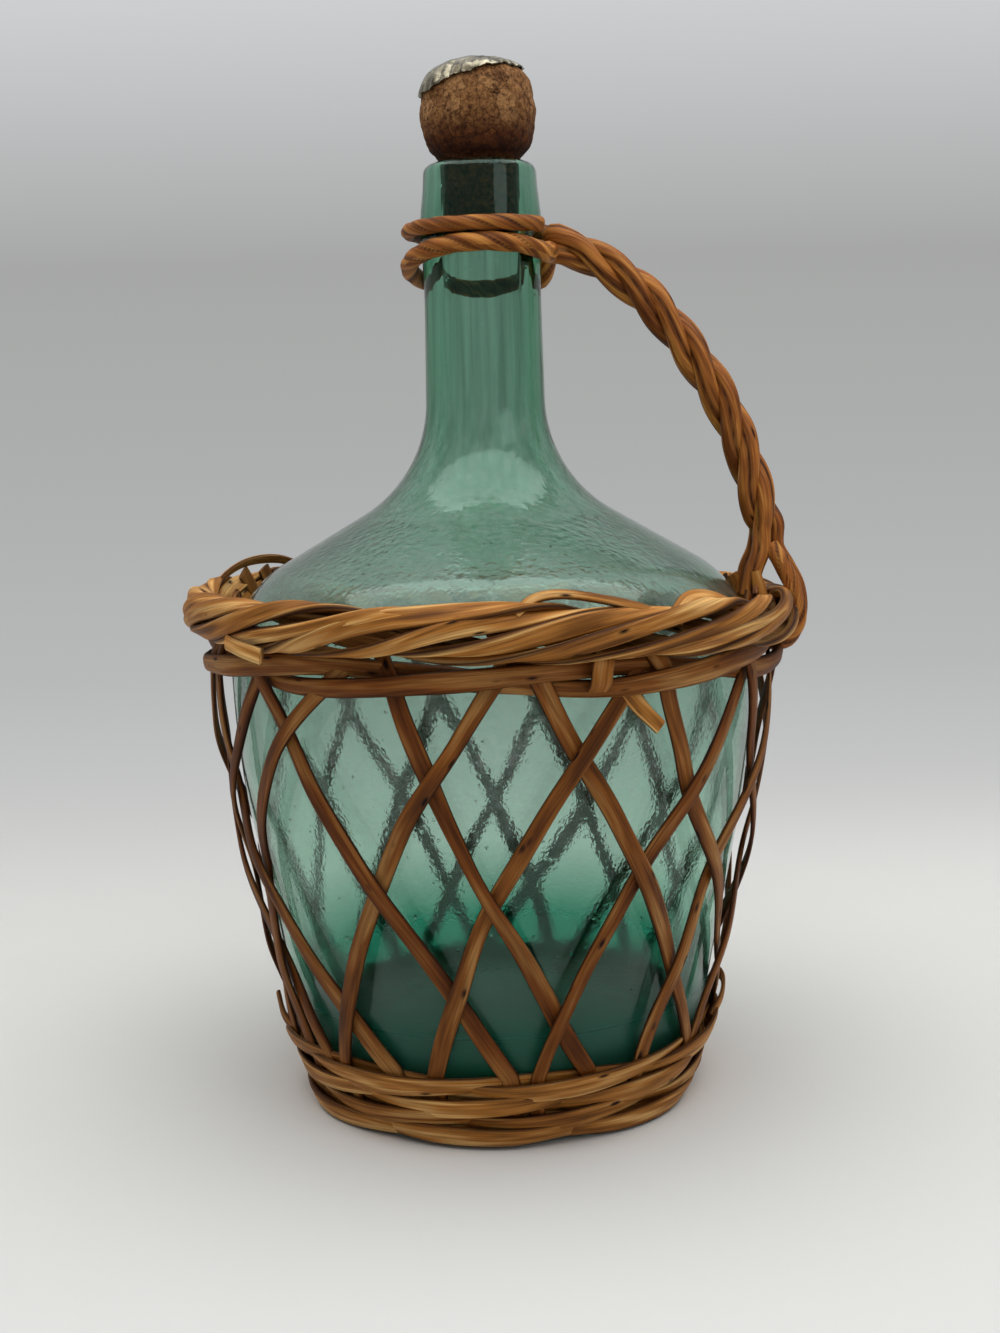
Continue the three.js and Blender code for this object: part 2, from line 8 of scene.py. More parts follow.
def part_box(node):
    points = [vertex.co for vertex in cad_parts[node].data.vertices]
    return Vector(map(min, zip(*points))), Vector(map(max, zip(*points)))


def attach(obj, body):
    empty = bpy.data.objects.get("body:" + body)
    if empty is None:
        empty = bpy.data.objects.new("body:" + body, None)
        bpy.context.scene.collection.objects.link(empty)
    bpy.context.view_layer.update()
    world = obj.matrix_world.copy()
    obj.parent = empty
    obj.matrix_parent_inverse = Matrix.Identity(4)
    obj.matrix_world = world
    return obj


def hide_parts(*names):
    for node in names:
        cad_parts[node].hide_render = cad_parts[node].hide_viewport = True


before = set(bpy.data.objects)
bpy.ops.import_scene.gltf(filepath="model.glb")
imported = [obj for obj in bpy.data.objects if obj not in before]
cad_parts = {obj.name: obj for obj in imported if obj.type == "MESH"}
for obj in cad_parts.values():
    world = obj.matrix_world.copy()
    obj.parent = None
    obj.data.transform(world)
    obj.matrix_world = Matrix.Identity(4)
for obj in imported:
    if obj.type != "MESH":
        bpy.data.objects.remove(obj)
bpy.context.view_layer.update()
print("frame loaded with", len(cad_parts), "nodes")

mm = 0.001
fullTurn = 360
draw = random.Random(11)


# small sums that the pieces share

def mix(low, high, share):
    return low + (high - low) * share


def ease(value, low, high):
    share = min(max((value - low) / (high - low), 0), 1)
    return share * share * (3 - 2 * share)


def polar(radius, azimuth, height):  # azimuth in degrees from the front, the handle at 90
    angle = math.radians(azimuth)
    return Vector((radius * math.sin(angle), -radius * math.cos(angle), height))


def arcPoints(centre, radius, start, stop, steps):  # in the half plane of radius and height
    points = []
    for i in range(steps + 1):
        angle = math.radians(mix(start, stop, i / steps))
        points.append((centre[0] + radius * math.cos(angle), centre[1] + radius * math.sin(angle)))
    return points


def throughPoints(points, spacing):  # an even run of points on a smooth curve through the given ones
    ends = [points[0] * 2 - points[1]] + points + [points[-1] * 2 - points[-2]]
    run = []
    for i in range(1, len(ends) - 2):
        before, start, stop, after = ends[i - 1:i + 3]
        pieces = max(round((stop - start).length / spacing), 1)
        for k in range(pieces):
            t = k / pieces
            pull = (stop - before) * t + (before * 2 - start * 5 + stop * 4 - after) * t ** 2
            pull += (start * 3 - before - stop * 3 + after) * t ** 3
            run.append(start + pull * 0.5)
    run.append(points[-1].copy())
    return run


def runningLengths(points):
    lengths = [0]
    for before, here in zip(points, points[1:]):
        lengths.append(lengths[-1] + (here - before).length)
    return lengths


def reached(points, lengths, goal):  # the point of a run that is this far along, and the way it heads
    last = len(points) - 2
    k = min(next((i for i, far in enumerate(lengths) if far >= goal - 1e-9), last), last)
    return points[k], (points[k + 1] - points[max(k - 1, 0)]).normalized()


# materials

def hexLinear(code):
    shares = [int(code[i:i + 2], 16) / 255 for i in (1, 3, 5)]
    linear = [c / 12.92 if c <= 0.04045 else ((c + 0.055) / 1.055) ** 2.4 for c in shares]
    return (*linear, 1)


def addNode(tree, kind, settings=None, values=None, links=None, stops=None):
    node = tree.nodes.new(kind)
    for key, value in (settings or {}).items():
        setattr(node, key, value)
    for key, value in (values or {}).items():
        node.inputs[key].default_value = value
    for key, source in (links or {}).items():
        tree.links.new(source, node.inputs[key])
    for i, (place, colour) in enumerate(stops or []):
        elements = node.color_ramp.elements
        element = elements[i] if i < 2 else elements.new(place)
        element.position = place
        element.color = colour
    return node


def newMaterial(name):
    material = bpy.data.materials.new(name)
    material.use_nodes = True
    material.node_tree.nodes.clear()
    return material, material.node_tree


def grey(level):
    return (level, level, level, 1)


# settings of nodes that many patterns use: a mix takes its share at 0 and colours at 6 and 7, and gives 2
overlay = {"data_type": "RGBA", "blend_type": "MULTIPLY"}
product = {"operation": "MULTIPLY"}
scaledSum = {"operation": "MULTIPLY_ADD"}


# Peeled split willow, oiled and aged: long pale fibres with dark streaks, a satin skin, brown knots.
def peeledWillow(name, look):
    material, tree = newMaterial(name)
    uv = addNode(tree, "ShaderNodeTexCoord").outputs["UV"]
    tone = addNode(tree, "ShaderNodeAttribute", {"attribute_name": "tone"}).outputs["Fac"]
    edge = addNode(tree, "ShaderNodeAttribute", {"attribute_name": "edge"}).outputs["Fac"]
    grain = {}
    for part, detail in (("fibre", 4), ("streak", 3), ("patch", 2)):
        length, width = look[part]
        scale = (1 / (length * mm), 1 / (width * mm), 1)
        place = addNode(tree, "ShaderNodeMapping", {}, {"Scale": scale}, {"Vector": uv})
        pattern = addNode(tree, "ShaderNodeTexNoise", {}, {"Scale": 1, "Detail": detail, "Roughness": 0.62},
                          {"Vector": place.outputs[0]})
        grain[part] = pattern.outputs["Fac"]
    # a knot is a small dark eye in its own cell of the strand, which is longer than it is wide
    knotScale = (1 / (look["knotSpacing"] * mm), 1 / (look["knotSpacing"] * 0.3 * mm), 1)
    place = addNode(tree, "ShaderNodeMapping", {}, {"Scale": knotScale}, {"Vector": uv})
    knot = addNode(tree, "ShaderNodeTexVoronoi", {}, {"Scale": 1}, {"Vector": place.outputs[0]})
    skin = addNode(tree, "ShaderNodeValToRGB", links={"Fac": grain["patch"]}, stops=[
        (0.34, hexLinear(look["deep"])), (0.64, hexLinear(look["pale"])), (0.5, hexLinear(look["mid"]))])
    colour = skin.outputs[0]
    layers = (
        (tone, (0, hexLinear(look["toneLow"])), (1, grey(1))),
        (grain["fibre"], (0.32, grey(look["fibreDark"])), (0.62, grey(1))),
        (grain["streak"], (0.6, grey(1)), (0.78, hexLinear(look["streakTint"]))),
        (knot.outputs["Distance"], (look["knotSize"], hexLinear(look["knotTint"])),
         (look["knotSize"] * 2.4, grey(1))),
        # painted shade: the edge attribute darkens each strand at its edges, its back and its creases
        (edge, (0.25, grey(1)), (1, hexLinear(look["paintedShadeTint"]))),
    )
    for source, *stops in layers:
        ramp = addNode(tree, "ShaderNodeValToRGB", links={"Fac": source}, stops=stops)
        colour = addNode(tree, "ShaderNodeMix", overlay, {0: 1}, {6: colour, 7: ramp.outputs[0]}).outputs[2]
    rough = addNode(tree, "ShaderNodeMapRange", {}, {"To Min": look["smooth"], "To Max": look["rough"]},
                    {"Value": grain["fibre"]})
    ridges = addNode(tree, "ShaderNodeMath", scaledSum, {1: 0.8}, {0: grain["fibre"], 2: grain["streak"]})
    bump = addNode(tree, "ShaderNodeBump", {}, {"Strength": 0.55, "Distance": look["ridgeHeight"] * mm},
                   {"Height": ridges.outputs[0]})
    shader = addNode(tree, "ShaderNodeBsdfPrincipled", {}, {"IOR": 1.48, "Specular IOR Level": look["gloss"]},
                     {"Base Color": colour, "Roughness": rough.outputs[0], "Normal": bump.outputs[0]})
    addNode(tree, "ShaderNodeOutputMaterial", links={"Surface": shader.outputs[0]})
    return material


# fibre, streak and patch are given by their length and width in millimetres
basketWillow = peeledWillow("peeled_willow", {
    "pale": "#f6c47a", "mid": "#c6843b", "deep": "#845220", "toneLow": "#9d846d", "paintedShadeTint": "#46290f",
    "fibre": (24, 0.34), "fibreDark": 0.5, "streak": (44, 0.8), "streakTint": "#84542b", "patch": (36, 3.2),
    "knotSpacing": 13, "knotSize": 0.07, "knotTint": "#3a2210", "smooth": 0.45, "rough": 0.65,
    "ridgeHeight": 0.2, "gloss": 0.14})
handleWillow = peeledWillow("steamed_brown_willow", {
    "pale": "#e29d4b", "mid": "#b46e31", "deep": "#7a4419", "toneLow": "#b09a8a", "paintedShadeTint": "#3f2416",
    "fibre": (26, 0.36), "fibreDark": 0.52, "streak": (30, 0.9), "streakTint": "#7a4a2c", "patch": (22, 3),
    "knotSpacing": 18, "knotSize": 0.05, "knotTint": "#3a2210", "smooth": 0.42, "rough": 0.62,
    "ridgeHeight": 0.22, "gloss": 0.16})


# Blown bottle glass: green from iron in the sand, wavy, with an orange-peel skin from the mould.
def blownGlass():
    look = {
        # width and length of each pattern in millimetres, and its detail
        "patterns": {"wave": (24, 24, 2), "peel": (1, 1, 2), "cord": (2.6, 70, 1), "run": (1.8, 14, 3),
                     "cloud": (1.5, 1.5, 6)},
        # heights in millimetres where a change starts and ends, and its share at both
        "bands": {"skin": (200, 165, 0.25, 1), "drawn": (150, 185, 0, 1), "ribbed": (165, 190, 0, 1),
                  "bodyLow": (70, 110, 0, 1), "bodyHigh": (150, 126, 0, 1),
                  "shoulderLow": (132, 158, 0, 1), "shoulderHigh": (205, 176, 0, 1),
                  "foot": (54, 32, 0, 1), "matt": (40, 26, 0.01, 0.42)},
        # height of each relief in millimetres and its strength, in the order they are laid
        "reliefs": {"wave": (0.13, 0.6), "peelRelief": (0.035, 0.6), "cordRelief": (0.2, 0.6),
                    "seedRelief": (0.12, 0.8), "runRelief": (0.22, 0.6)},
        "seedSpacing": 5.5, "seedSize": 0.1, "bloomHaze": 0.16, "footHaze": 0.1, "runHaze": 0.07,
        "dull": 0.02, "clear": "#f8f9f8", "footTint": "#4baf9a", "shine": "#c0e0d4",
        "green": "#31c89c", "density": 125,
    }
    material, tree = newMaterial("blown_green_glass")
    spot = addNode(tree, "ShaderNodeTexCoord").outputs["Object"]
    height = addNode(tree, "ShaderNodeSeparateXYZ", links={0: spot}).outputs["Z"]
    # seeds are small bubbles that stayed in the glass
    seed = addNode(tree, "ShaderNodeTexVoronoi", {}, {"Scale": 1 / (look["seedSpacing"] * mm)},
                   {"Vector": spot})
    part = {"seed": seed.outputs["Distance"]}  # what the skin is made of, by name
    for name, (width, length, detail) in look["patterns"].items():
        scale = (1 / (width * mm), 1 / (width * mm), 1 / (length * mm))
        place = addNode(tree, "ShaderNodeMapping", {}, {"Scale": scale}, {"Vector": spot})
        pattern = addNode(tree, "ShaderNodeTexNoise", {}, {"Scale": 1, "Detail": detail},
                          {"Vector": place.outputs[0]})
        part[name] = pattern.outputs["Fac"]
    for name, (start, stop, low, high) in look["bands"].items():
        band = addNode(tree, "ShaderNodeMapRange", {}, {"From Min": start * mm, "From Max": stop * mm,
                                                        "To Min": low, "To Max": high}, {"Value": height})
        part[name] = band.outputs[0]
    ramps = (
        ("seedRelief", "seed", (0, grey(1)), (look["seedSize"], grey(0))),
        ("patches", "cloud", (0.48, grey(0.3)), (0.64, grey(1))),
        ("streaks", "run", (0.4, grey(0.25)), (0.66, grey(1))),
        ("ribs", "cord", (0.36, grey(0.72)), (0.5, grey(1))),
        ("tint", "foot", (0, hexLinear(look["clear"])), (1, hexLinear(look["footTint"]))),
    )
    for name, source, *stops in ramps:
        ramp = addNode(tree, "ShaderNodeValToRGB", links={"Fac": part[source]}, stops=stops)
        part[name] = ramp.outputs[0]
    # the mould's skin fades above the shoulder, cords run up the drawn neck, a faint bloom lies on the upper
    # body in patches, and over the shoulder the skin runs in streaks and is a little dull
    products = (
        ("peelRelief", "peel", "skin"), ("cordRelief", "cord", "drawn"),
        ("bodyPatches", "patches", "bodyLow"), ("bloom", "bodyPatches", "bodyHigh"),
        ("shoulder", "shoulderLow", "shoulderHigh"), ("runRelief", "shoulder", "run"),
        ("shoulderStreaks", "shoulder", "streaks"),
    )
    for name, first, second in products:
        both = addNode(tree, "ShaderNodeMath", product, {}, {0: part[first], 1: part[second]})
        part[name] = both.outputs[0]
    below = {}  # each relief lies on the one before it
    for name, (rise, strength) in look["reliefs"].items():
        bump = addNode(tree, "ShaderNodeBump", {}, {"Strength": strength, "Distance": rise * mm},
                       {"Height": part[name], **below})
        below = {"Normal": bump.outputs[0]}
    clear = addNode(tree, "ShaderNodeMath", scaledSum, {1: -look["bloomHaze"], 2: 1}, {0: part["bloom"]})
    clear = addNode(tree, "ShaderNodeMath", scaledSum, {1: -look["footHaze"]},
                    {0: part["foot"], 2: clear.outputs[0]})
    clear = addNode(tree, "ShaderNodeMath", scaledSum, {1: -look["runHaze"]},
                    {0: part["shoulderStreaks"], 2: clear.outputs[0]})
    colour = addNode(tree, "ShaderNodeMix", overlay, {},
                     {0: part["ribbed"], 6: part["tint"], 7: part["ribs"]})
    rough = addNode(tree, "ShaderNodeMath", scaledSum, {1: look["dull"]},
                    {0: part["shoulder"], 2: part["matt"]})
    shader = addNode(tree, "ShaderNodeBsdfPrincipled", {},
                     {"IOR": 1.5, "Specular Tint": hexLinear(look["shine"])},
                     {"Base Color": colour.outputs[2], "Roughness": rough.outputs[0],
                      "Transmission Weight": clear.outputs[0], "Normal": bump.outputs[0]})
    tint = addNode(tree, "ShaderNodeVolumeAbsorption", {}, {"Color": hexLinear(look["green"]),
                                                            "Density": look["density"]})
    addNode(tree, "ShaderNodeOutputMaterial", links={"Surface": shader.outputs[0], "Volume": tint.outputs[0]})
    return material


# Natural cork: a crumbly bark in browns, with open pits, pressed granules, and darker near the mouth, partly
# a wine stain and partly painted shade.
def pressedCork():
    look = {
        # size of each pattern in millimetres, its detail and roughness
        "patterns": {"warp": (3, 3, 0.6), "crumb": (1.4, 5, 0.68), "grit": (0.5, 3, 0.6),
                     "pit": (2.6, 5, 0.62)},
        "granule": 4.6, "bend": 1.4, "crackShare": 0.6, "relief": 0.7, "stainAndShadeLow": 255, "stainAndShadeHigh": 266,
    }
    material, tree = newMaterial("natural_cork")
    spot = addNode(tree, "ShaderNodeTexCoord").outputs["Object"]
    pattern = {}
    for part, (size, detail, roughness) in look["patterns"].items():
        pattern[part] = addNode(tree, "ShaderNodeTexNoise", {}, {"Scale": 1 / (size * mm), "Detail": detail,
                                                                 "Roughness": roughness}, {"Vector": spot})
    bent = addNode(tree, "ShaderNodeMix", {"data_type": "RGBA", "blend_type": "LINEAR_LIGHT"},
                   {0: look["bend"] * mm}, {6: spot, 7: pattern["warp"].outputs["Color"]})
    granule = addNode(tree, "ShaderNodeTexVoronoi", {}, {"Scale": 1 / (look["granule"] * mm)},
                      {"Vector": bent.outputs[2]})
    crack = addNode(tree, "ShaderNodeTexVoronoi", {"feature": "DISTANCE_TO_EDGE"},
                    {"Scale": 1 / (look["granule"] * mm)}, {"Vector": bent.outputs[2]})
    height = addNode(tree, "ShaderNodeSeparateXYZ", links={0: spot}).outputs["Z"]
    rise = addNode(tree, "ShaderNodeMapRange", {}, {"From Min": look["stainAndShadeLow"] * mm,
                                                    "From Max": look["stainAndShadeHigh"] * mm}, {"Value": height})
    shade = addNode(tree, "ShaderNodeSeparateColor", links={0: granule.outputs["Color"]})
    bark = addNode(tree, "ShaderNodeValToRGB", links={"Fac": shade.outputs[0]}, stops=[
        (0, hexLinear("#8f6238")), (1, hexLinear("#b48656")), (0.5, hexLinear("#a07244"))])
    colour = bark.outputs[0]
    crumb, grit, pit = (pattern[part].outputs["Fac"] for part in ("crumb", "grit", "pit"))
    layers = {
        "crumb": (crumb, 1, (0.34, hexLinear("#8d7260")), (0.6, grey(1))),
        "grit": (grit, 1, (0.36, grey(0.62)), (0.6, grey(1))),
        "crack": (crack.outputs["Distance"], look["crackShare"], (0, hexLinear("#5b3d2a")), (0.06, grey(1))),
        "pit": (pit, 1, (0.3, hexLinear("#5d3b22")), (0.37, grey(1))),
        # painted shade and a wine stain: the head is darker low down, near the mouth
        "stainAndShade": (rise.outputs[0], 1, (0.05, hexLinear("#b59a88")), (1, grey(1)), (0.2, hexLinear("#6b4a38")),
                  (0.55, hexLinear("#a5866c"))),
    }
    ramp = {}
    for layer, (source, share, *stops) in layers.items():
        ramp[layer] = addNode(tree, "ShaderNodeValToRGB", links={"Fac": source}, stops=stops).outputs[0]
        colour = addNode(tree, "ShaderNodeMix", overlay, {0: share}, {6: colour, 7: ramp[layer]}).outputs[2]
    lumps = addNode(tree, "ShaderNodeMath", scaledSum, {1: 0.5}, {0: grit, 2: crumb})
    lumps = addNode(tree, "ShaderNodeMath", {"operation": "ADD"}, {}, {0: lumps.outputs[0], 1: ramp["pit"]})
    bump = addNode(tree, "ShaderNodeBump", {}, {"Strength": 0.8, "Distance": look["relief"] * mm},
                   {"Height": lumps.outputs[0]})
    shader = addNode(tree, "ShaderNodeBsdfPrincipled", {},
                     {"Roughness": 0.85, "IOR": 1.4, "Specular IOR Level": 0.25},
                     {"Base Color": colour, "Normal": bump.outputs[0]})
    addNode(tree, "ShaderNodeOutputMaterial", links={"Surface": shader.outputs[0]})
    return material


# Tinplate: thin pressed sheet, bright where it is rubbed, brown in the creases.
def crimpedTin():
    look = {"dent": 1.6, "dentDepth": 0.5, "grime": 4, "grimy": "#4f493c", "rubbed": "#a9a28c",
            "grimyRough": 0.38, "rubbedRough": 0.2}
    material, tree = newMaterial("crimped_tinplate")
    spot = addNode(tree, "ShaderNodeTexCoord").outputs["Object"]
    dent = addNode(tree, "ShaderNodeTexNoise", {}, {"Scale": 1 / (look["dent"] * mm), "Detail": 3},
                   {"Vector": spot})
    grime = addNode(tree, "ShaderNodeTexNoise", {}, {"Scale": 1 / (look["grime"] * mm), "Detail": 4},
                    {"Vector": spot})
    coat = addNode(tree, "ShaderNodeValToRGB", links={"Fac": grime.outputs["Fac"]}, stops=[
        (0.38, hexLinear(look["grimy"])), (0.66, hexLinear(look["rubbed"]))])
    rough = addNode(tree, "ShaderNodeMapRange", {},
                    {"To Min": look["grimyRough"], "To Max": look["rubbedRough"]},
                    {"Value": grime.outputs["Fac"]})
    bump = addNode(tree, "ShaderNodeBump", {}, {"Strength": 0.7, "Distance": look["dentDepth"] * mm},
                   {"Height": dent.outputs["Fac"]})
    shader = addNode(tree, "ShaderNodeBsdfPrincipled", {}, {"Metallic": 1},
                     {"Base Color": coat.outputs[0], "Roughness": rough.outputs[0],
                      "Normal": bump.outputs[0]})
    addNode(tree, "ShaderNodeOutputMaterial", links={"Surface": shader.outputs[0]})
    return material


greenGlass = blownGlass()
corkBark = pressedCork()
tinPlate = crimpedTin()
print("materials made")


# modelling by hand, in steps that the pieces share

def pickOnly(piece):
    bpy.ops.object.select_all(action="DESELECT")
    piece.select_set(True)
    bpy.context.view_layer.objects.active = piece


def spunPiece(name, outline, turns):  # outline in millimetres, from the axis round to the axis or closed
    bpy.ops.object.select_all(action="DESELECT")
    bpy.ops.mesh.primitive_circle_add(vertices=len(outline), radius=1)
    piece = bpy.context.object
    piece.name = name
    for vertex, (radius, height) in zip(piece.data.vertices, outline):
        vertex.co = (radius * mm, 0, height * mm)
    bpy.ops.object.mode_set(mode="EDIT")
    if outline[0][0] == 0 and outline[-1][0] == 0:  # the edge that runs up the axis goes
        bpy.ops.mesh.select_all(action="DESELECT")
        bpy.ops.object.mode_set(mode="OBJECT")
        for edge in piece.data.edges:
            edge.select = all(abs(piece.data.vertices[i].co.x) < 1e-9 for i in edge.vertices)
        bpy.ops.object.mode_set(mode="EDIT")
        bpy.ops.mesh.select_mode(type="EDGE")
        bpy.ops.mesh.delete(type="EDGE")
        bpy.ops.mesh.select_mode(type="VERT")
    bpy.ops.mesh.select_all(action="SELECT")
    bpy.ops.mesh.spin(steps=turns, angle=2 * math.pi, center=(0, 0, 0), axis=(0, 0, 1))
    bpy.ops.mesh.select_all(action="SELECT")
    bpy.ops.mesh.remove_doubles(threshold=1e-6)
    bpy.ops.mesh.normals_make_consistent(inside=False)
    bpy.ops.object.mode_set(mode="OBJECT")
    return piece


def clouded(piece, size, depth, group):  # a gentle displacement, applied
    texture = bpy.data.textures.new(piece.name + "_clouds", "CLOUDS")
    texture.noise_scale = size * mm
    pickOnly(piece)
    swell = piece.modifiers.new("swell", "DISPLACE")
    swell.texture = texture
    swell.texture_coords = "LOCAL"
    swell.strength = depth * mm
    swell.vertex_group = group
    bpy.ops.object.modifier_apply(modifier=swell.name)


def handOver(piece, material, body, slot, *nodes):
    piece.data.materials.clear()
    piece.data.materials.append(material)
    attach(piece, body)
    if nodes:
        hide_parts(*nodes)


# A strand is a grid rolled up along its path. Each station: centre, outward side, width, thickness.
flatSplit = (0.55, 0.65, 0.5)  # how square the edges, the crown and the back of a split strip are
roundRod = (1, 1, 1)
strandShade = {"edgePower": 5, "back": 0.55, "backFrom": -0.2, "sharpEdge": 62}


def rollStrand(name, stations, tone, sides=12, crown=0.62, form=flatSplit, creases=0, creaseDepth=0,
               twists=None):
    count = len(stations)
    bpy.ops.object.select_all(action="DESELECT")
    bpy.ops.mesh.primitive_grid_add(x_subdivisions=count - 1, y_subdivisions=sides, size=1)
    piece = bpy.context.object
    piece.name = name
    mesh = piece.data
    places = [(round((v.co.x + 0.5) * (count - 1)), round((v.co.y + 0.5) * sides)) for v in mesh.vertices]
    lengths = runningLengths([station[0] for station in stations])
    girth = 2 * max(width + thickness for centre, outward, width, thickness in stations)
    offset = (draw.uniform(0, 900), draw.uniform(0, 300))  # each strand is cut from its own place in the wood
    frames = []
    for i, (centre, outward, width, thickness) in enumerate(stations):
        ahead = stations[min(i + 1, count - 1)][0] - stations[max(i - 1, 0)][0]
        side = ahead.cross(outward).normalized()
        frames.append((centre, side, side.cross(ahead).normalized(), width, thickness))
    edges = []
    for vertex, (i, j) in zip(mesh.vertices, places):
        centre, side, outward, width, thickness = frames[i]
        angle = fullTurn * (j % sides) / sides
        across = math.cos(math.radians(angle))
        deep = math.sin(math.radians(angle))
        swell = 1
        # painted shade: the strand's edges and its back are marked darker in the edge attribute
        shadow = max(abs(across) ** strandShade["edgePower"],
                     strandShade["back"] if deep < strandShade["backFrom"] else 0)
        if creases:  # a rod of several splits has a crease between each two, and they wind with its twist
            ridge = abs(math.cos(math.radians(creases / 2 * (angle + twists[i]))))
            swell = 1 - creaseDepth * (1 - ridge) ** 2
            # painted shade in the crease between two splits
            shadow = (1 - ridge) ** 2
        x = width / 2 * math.copysign(abs(across) ** form[0], across) * swell
        y = thickness * (crown * deep ** form[1] if deep > 0 else (crown - 1) * abs(deep) ** form[2]) * swell
        vertex.co = (centre + side * x + outward * y) * mm
        edges.append(shadow)
    layer = mesh.uv_layers.active.data
    for loop in mesh.loops:
        i, j = places[loop.vertex_index]
        wound = j / sides
        if creases:
            wound += twists[i] / fullTurn
        layer[loop.index].uv = ((lengths[i] + offset[0]) * mm, (wound * girth + offset[1]) * mm)
    toneLayer = mesh.attributes.new("tone", "FLOAT", "POINT")
    paintedShadeLayer = mesh.attributes.new("edge", "FLOAT", "POINT")
    toneLayer.data.foreach_set("value", [tone] * len(mesh.vertices))
    paintedShadeLayer.data.foreach_set("value", edges)
    bpy.ops.object.mode_set(mode="EDIT")
    bpy.ops.mesh.select_all(action="SELECT")
    bpy.ops.mesh.remove_doubles(threshold=1e-7)
    bpy.ops.mesh.select_all(action="DESELECT")
    bpy.ops.mesh.select_non_manifold()
    bpy.ops.mesh.fill_holes(sides=0)
    bpy.ops.mesh.select_all(action="SELECT")
    bpy.ops.mesh.normals_make_consistent(inside=False)
    bpy.ops.object.mode_set(mode="OBJECT")
    bpy.ops.object.shade_smooth_by_angle(angle=math.radians(strandShade["sharpEdge"]))
    return piece


def waver(place, seed, grown):  # the unevenness of grown wood along a strand: its length and its spread
    length, spread = grown
    return spread * noise.noise(Vector((place / length, seed * 7.31, 0.5)))


def tapered(place, length, reach):  # a strand narrows to its cut ends
    return 0.45 + 0.55 * ease(min(place, length - place), 0, reach)


def joined(name, pieces):
    bpy.ops.object.select_all(action="DESELECT")
    for piece in pieces:
        piece.select_set(True)
    bpy.context.view_layer.objects.active = pieces[0]
    if len(pieces) > 1:
        bpy.ops.object.join()
    pieces[0].name = name
    return pieces[0]


# the bottle, in millimetres and degrees

bottle = {
    "foot": 8.3, "mouth": 255, "bodyRadius": 72.3, "shoulder": 122.5, "shoulderRound": 30,
    "shoulderSlope": 30, "sideRound": 250, "sideTaper": 10.9, "heelRound": 13, "ringWidth": 4, "puntRise": 14,
    "neckFillet": 36, "neckBase": 16.3, "neck": 15.9, "neckTopDrop": 33, "collar": 16.5, "collarDrop": 17,
    "lip": 15.3, "lipRound": 2.6, "lipFlare": 0.25, "lipFlareDrop": 4, "mouthRound": 1.2, "bore": 10.8,
    "wall": 3.2, "heelWall": 5, "floor": 6, "floorEdge": 3.4, "neckSpacing": 3, "boreSpacing": 4,
    "wallSteps": 8, "segments": 160,
    # the blown wall swells a little: where that starts and is full above the foot, where it fades below the
    # mouth, and the size and depth of its waves
    "swellFoot": (20, 40), "swellMouth": (60, 25), "swellInside": (30, 0.4), "swellOutside": (45, 0.3),
}


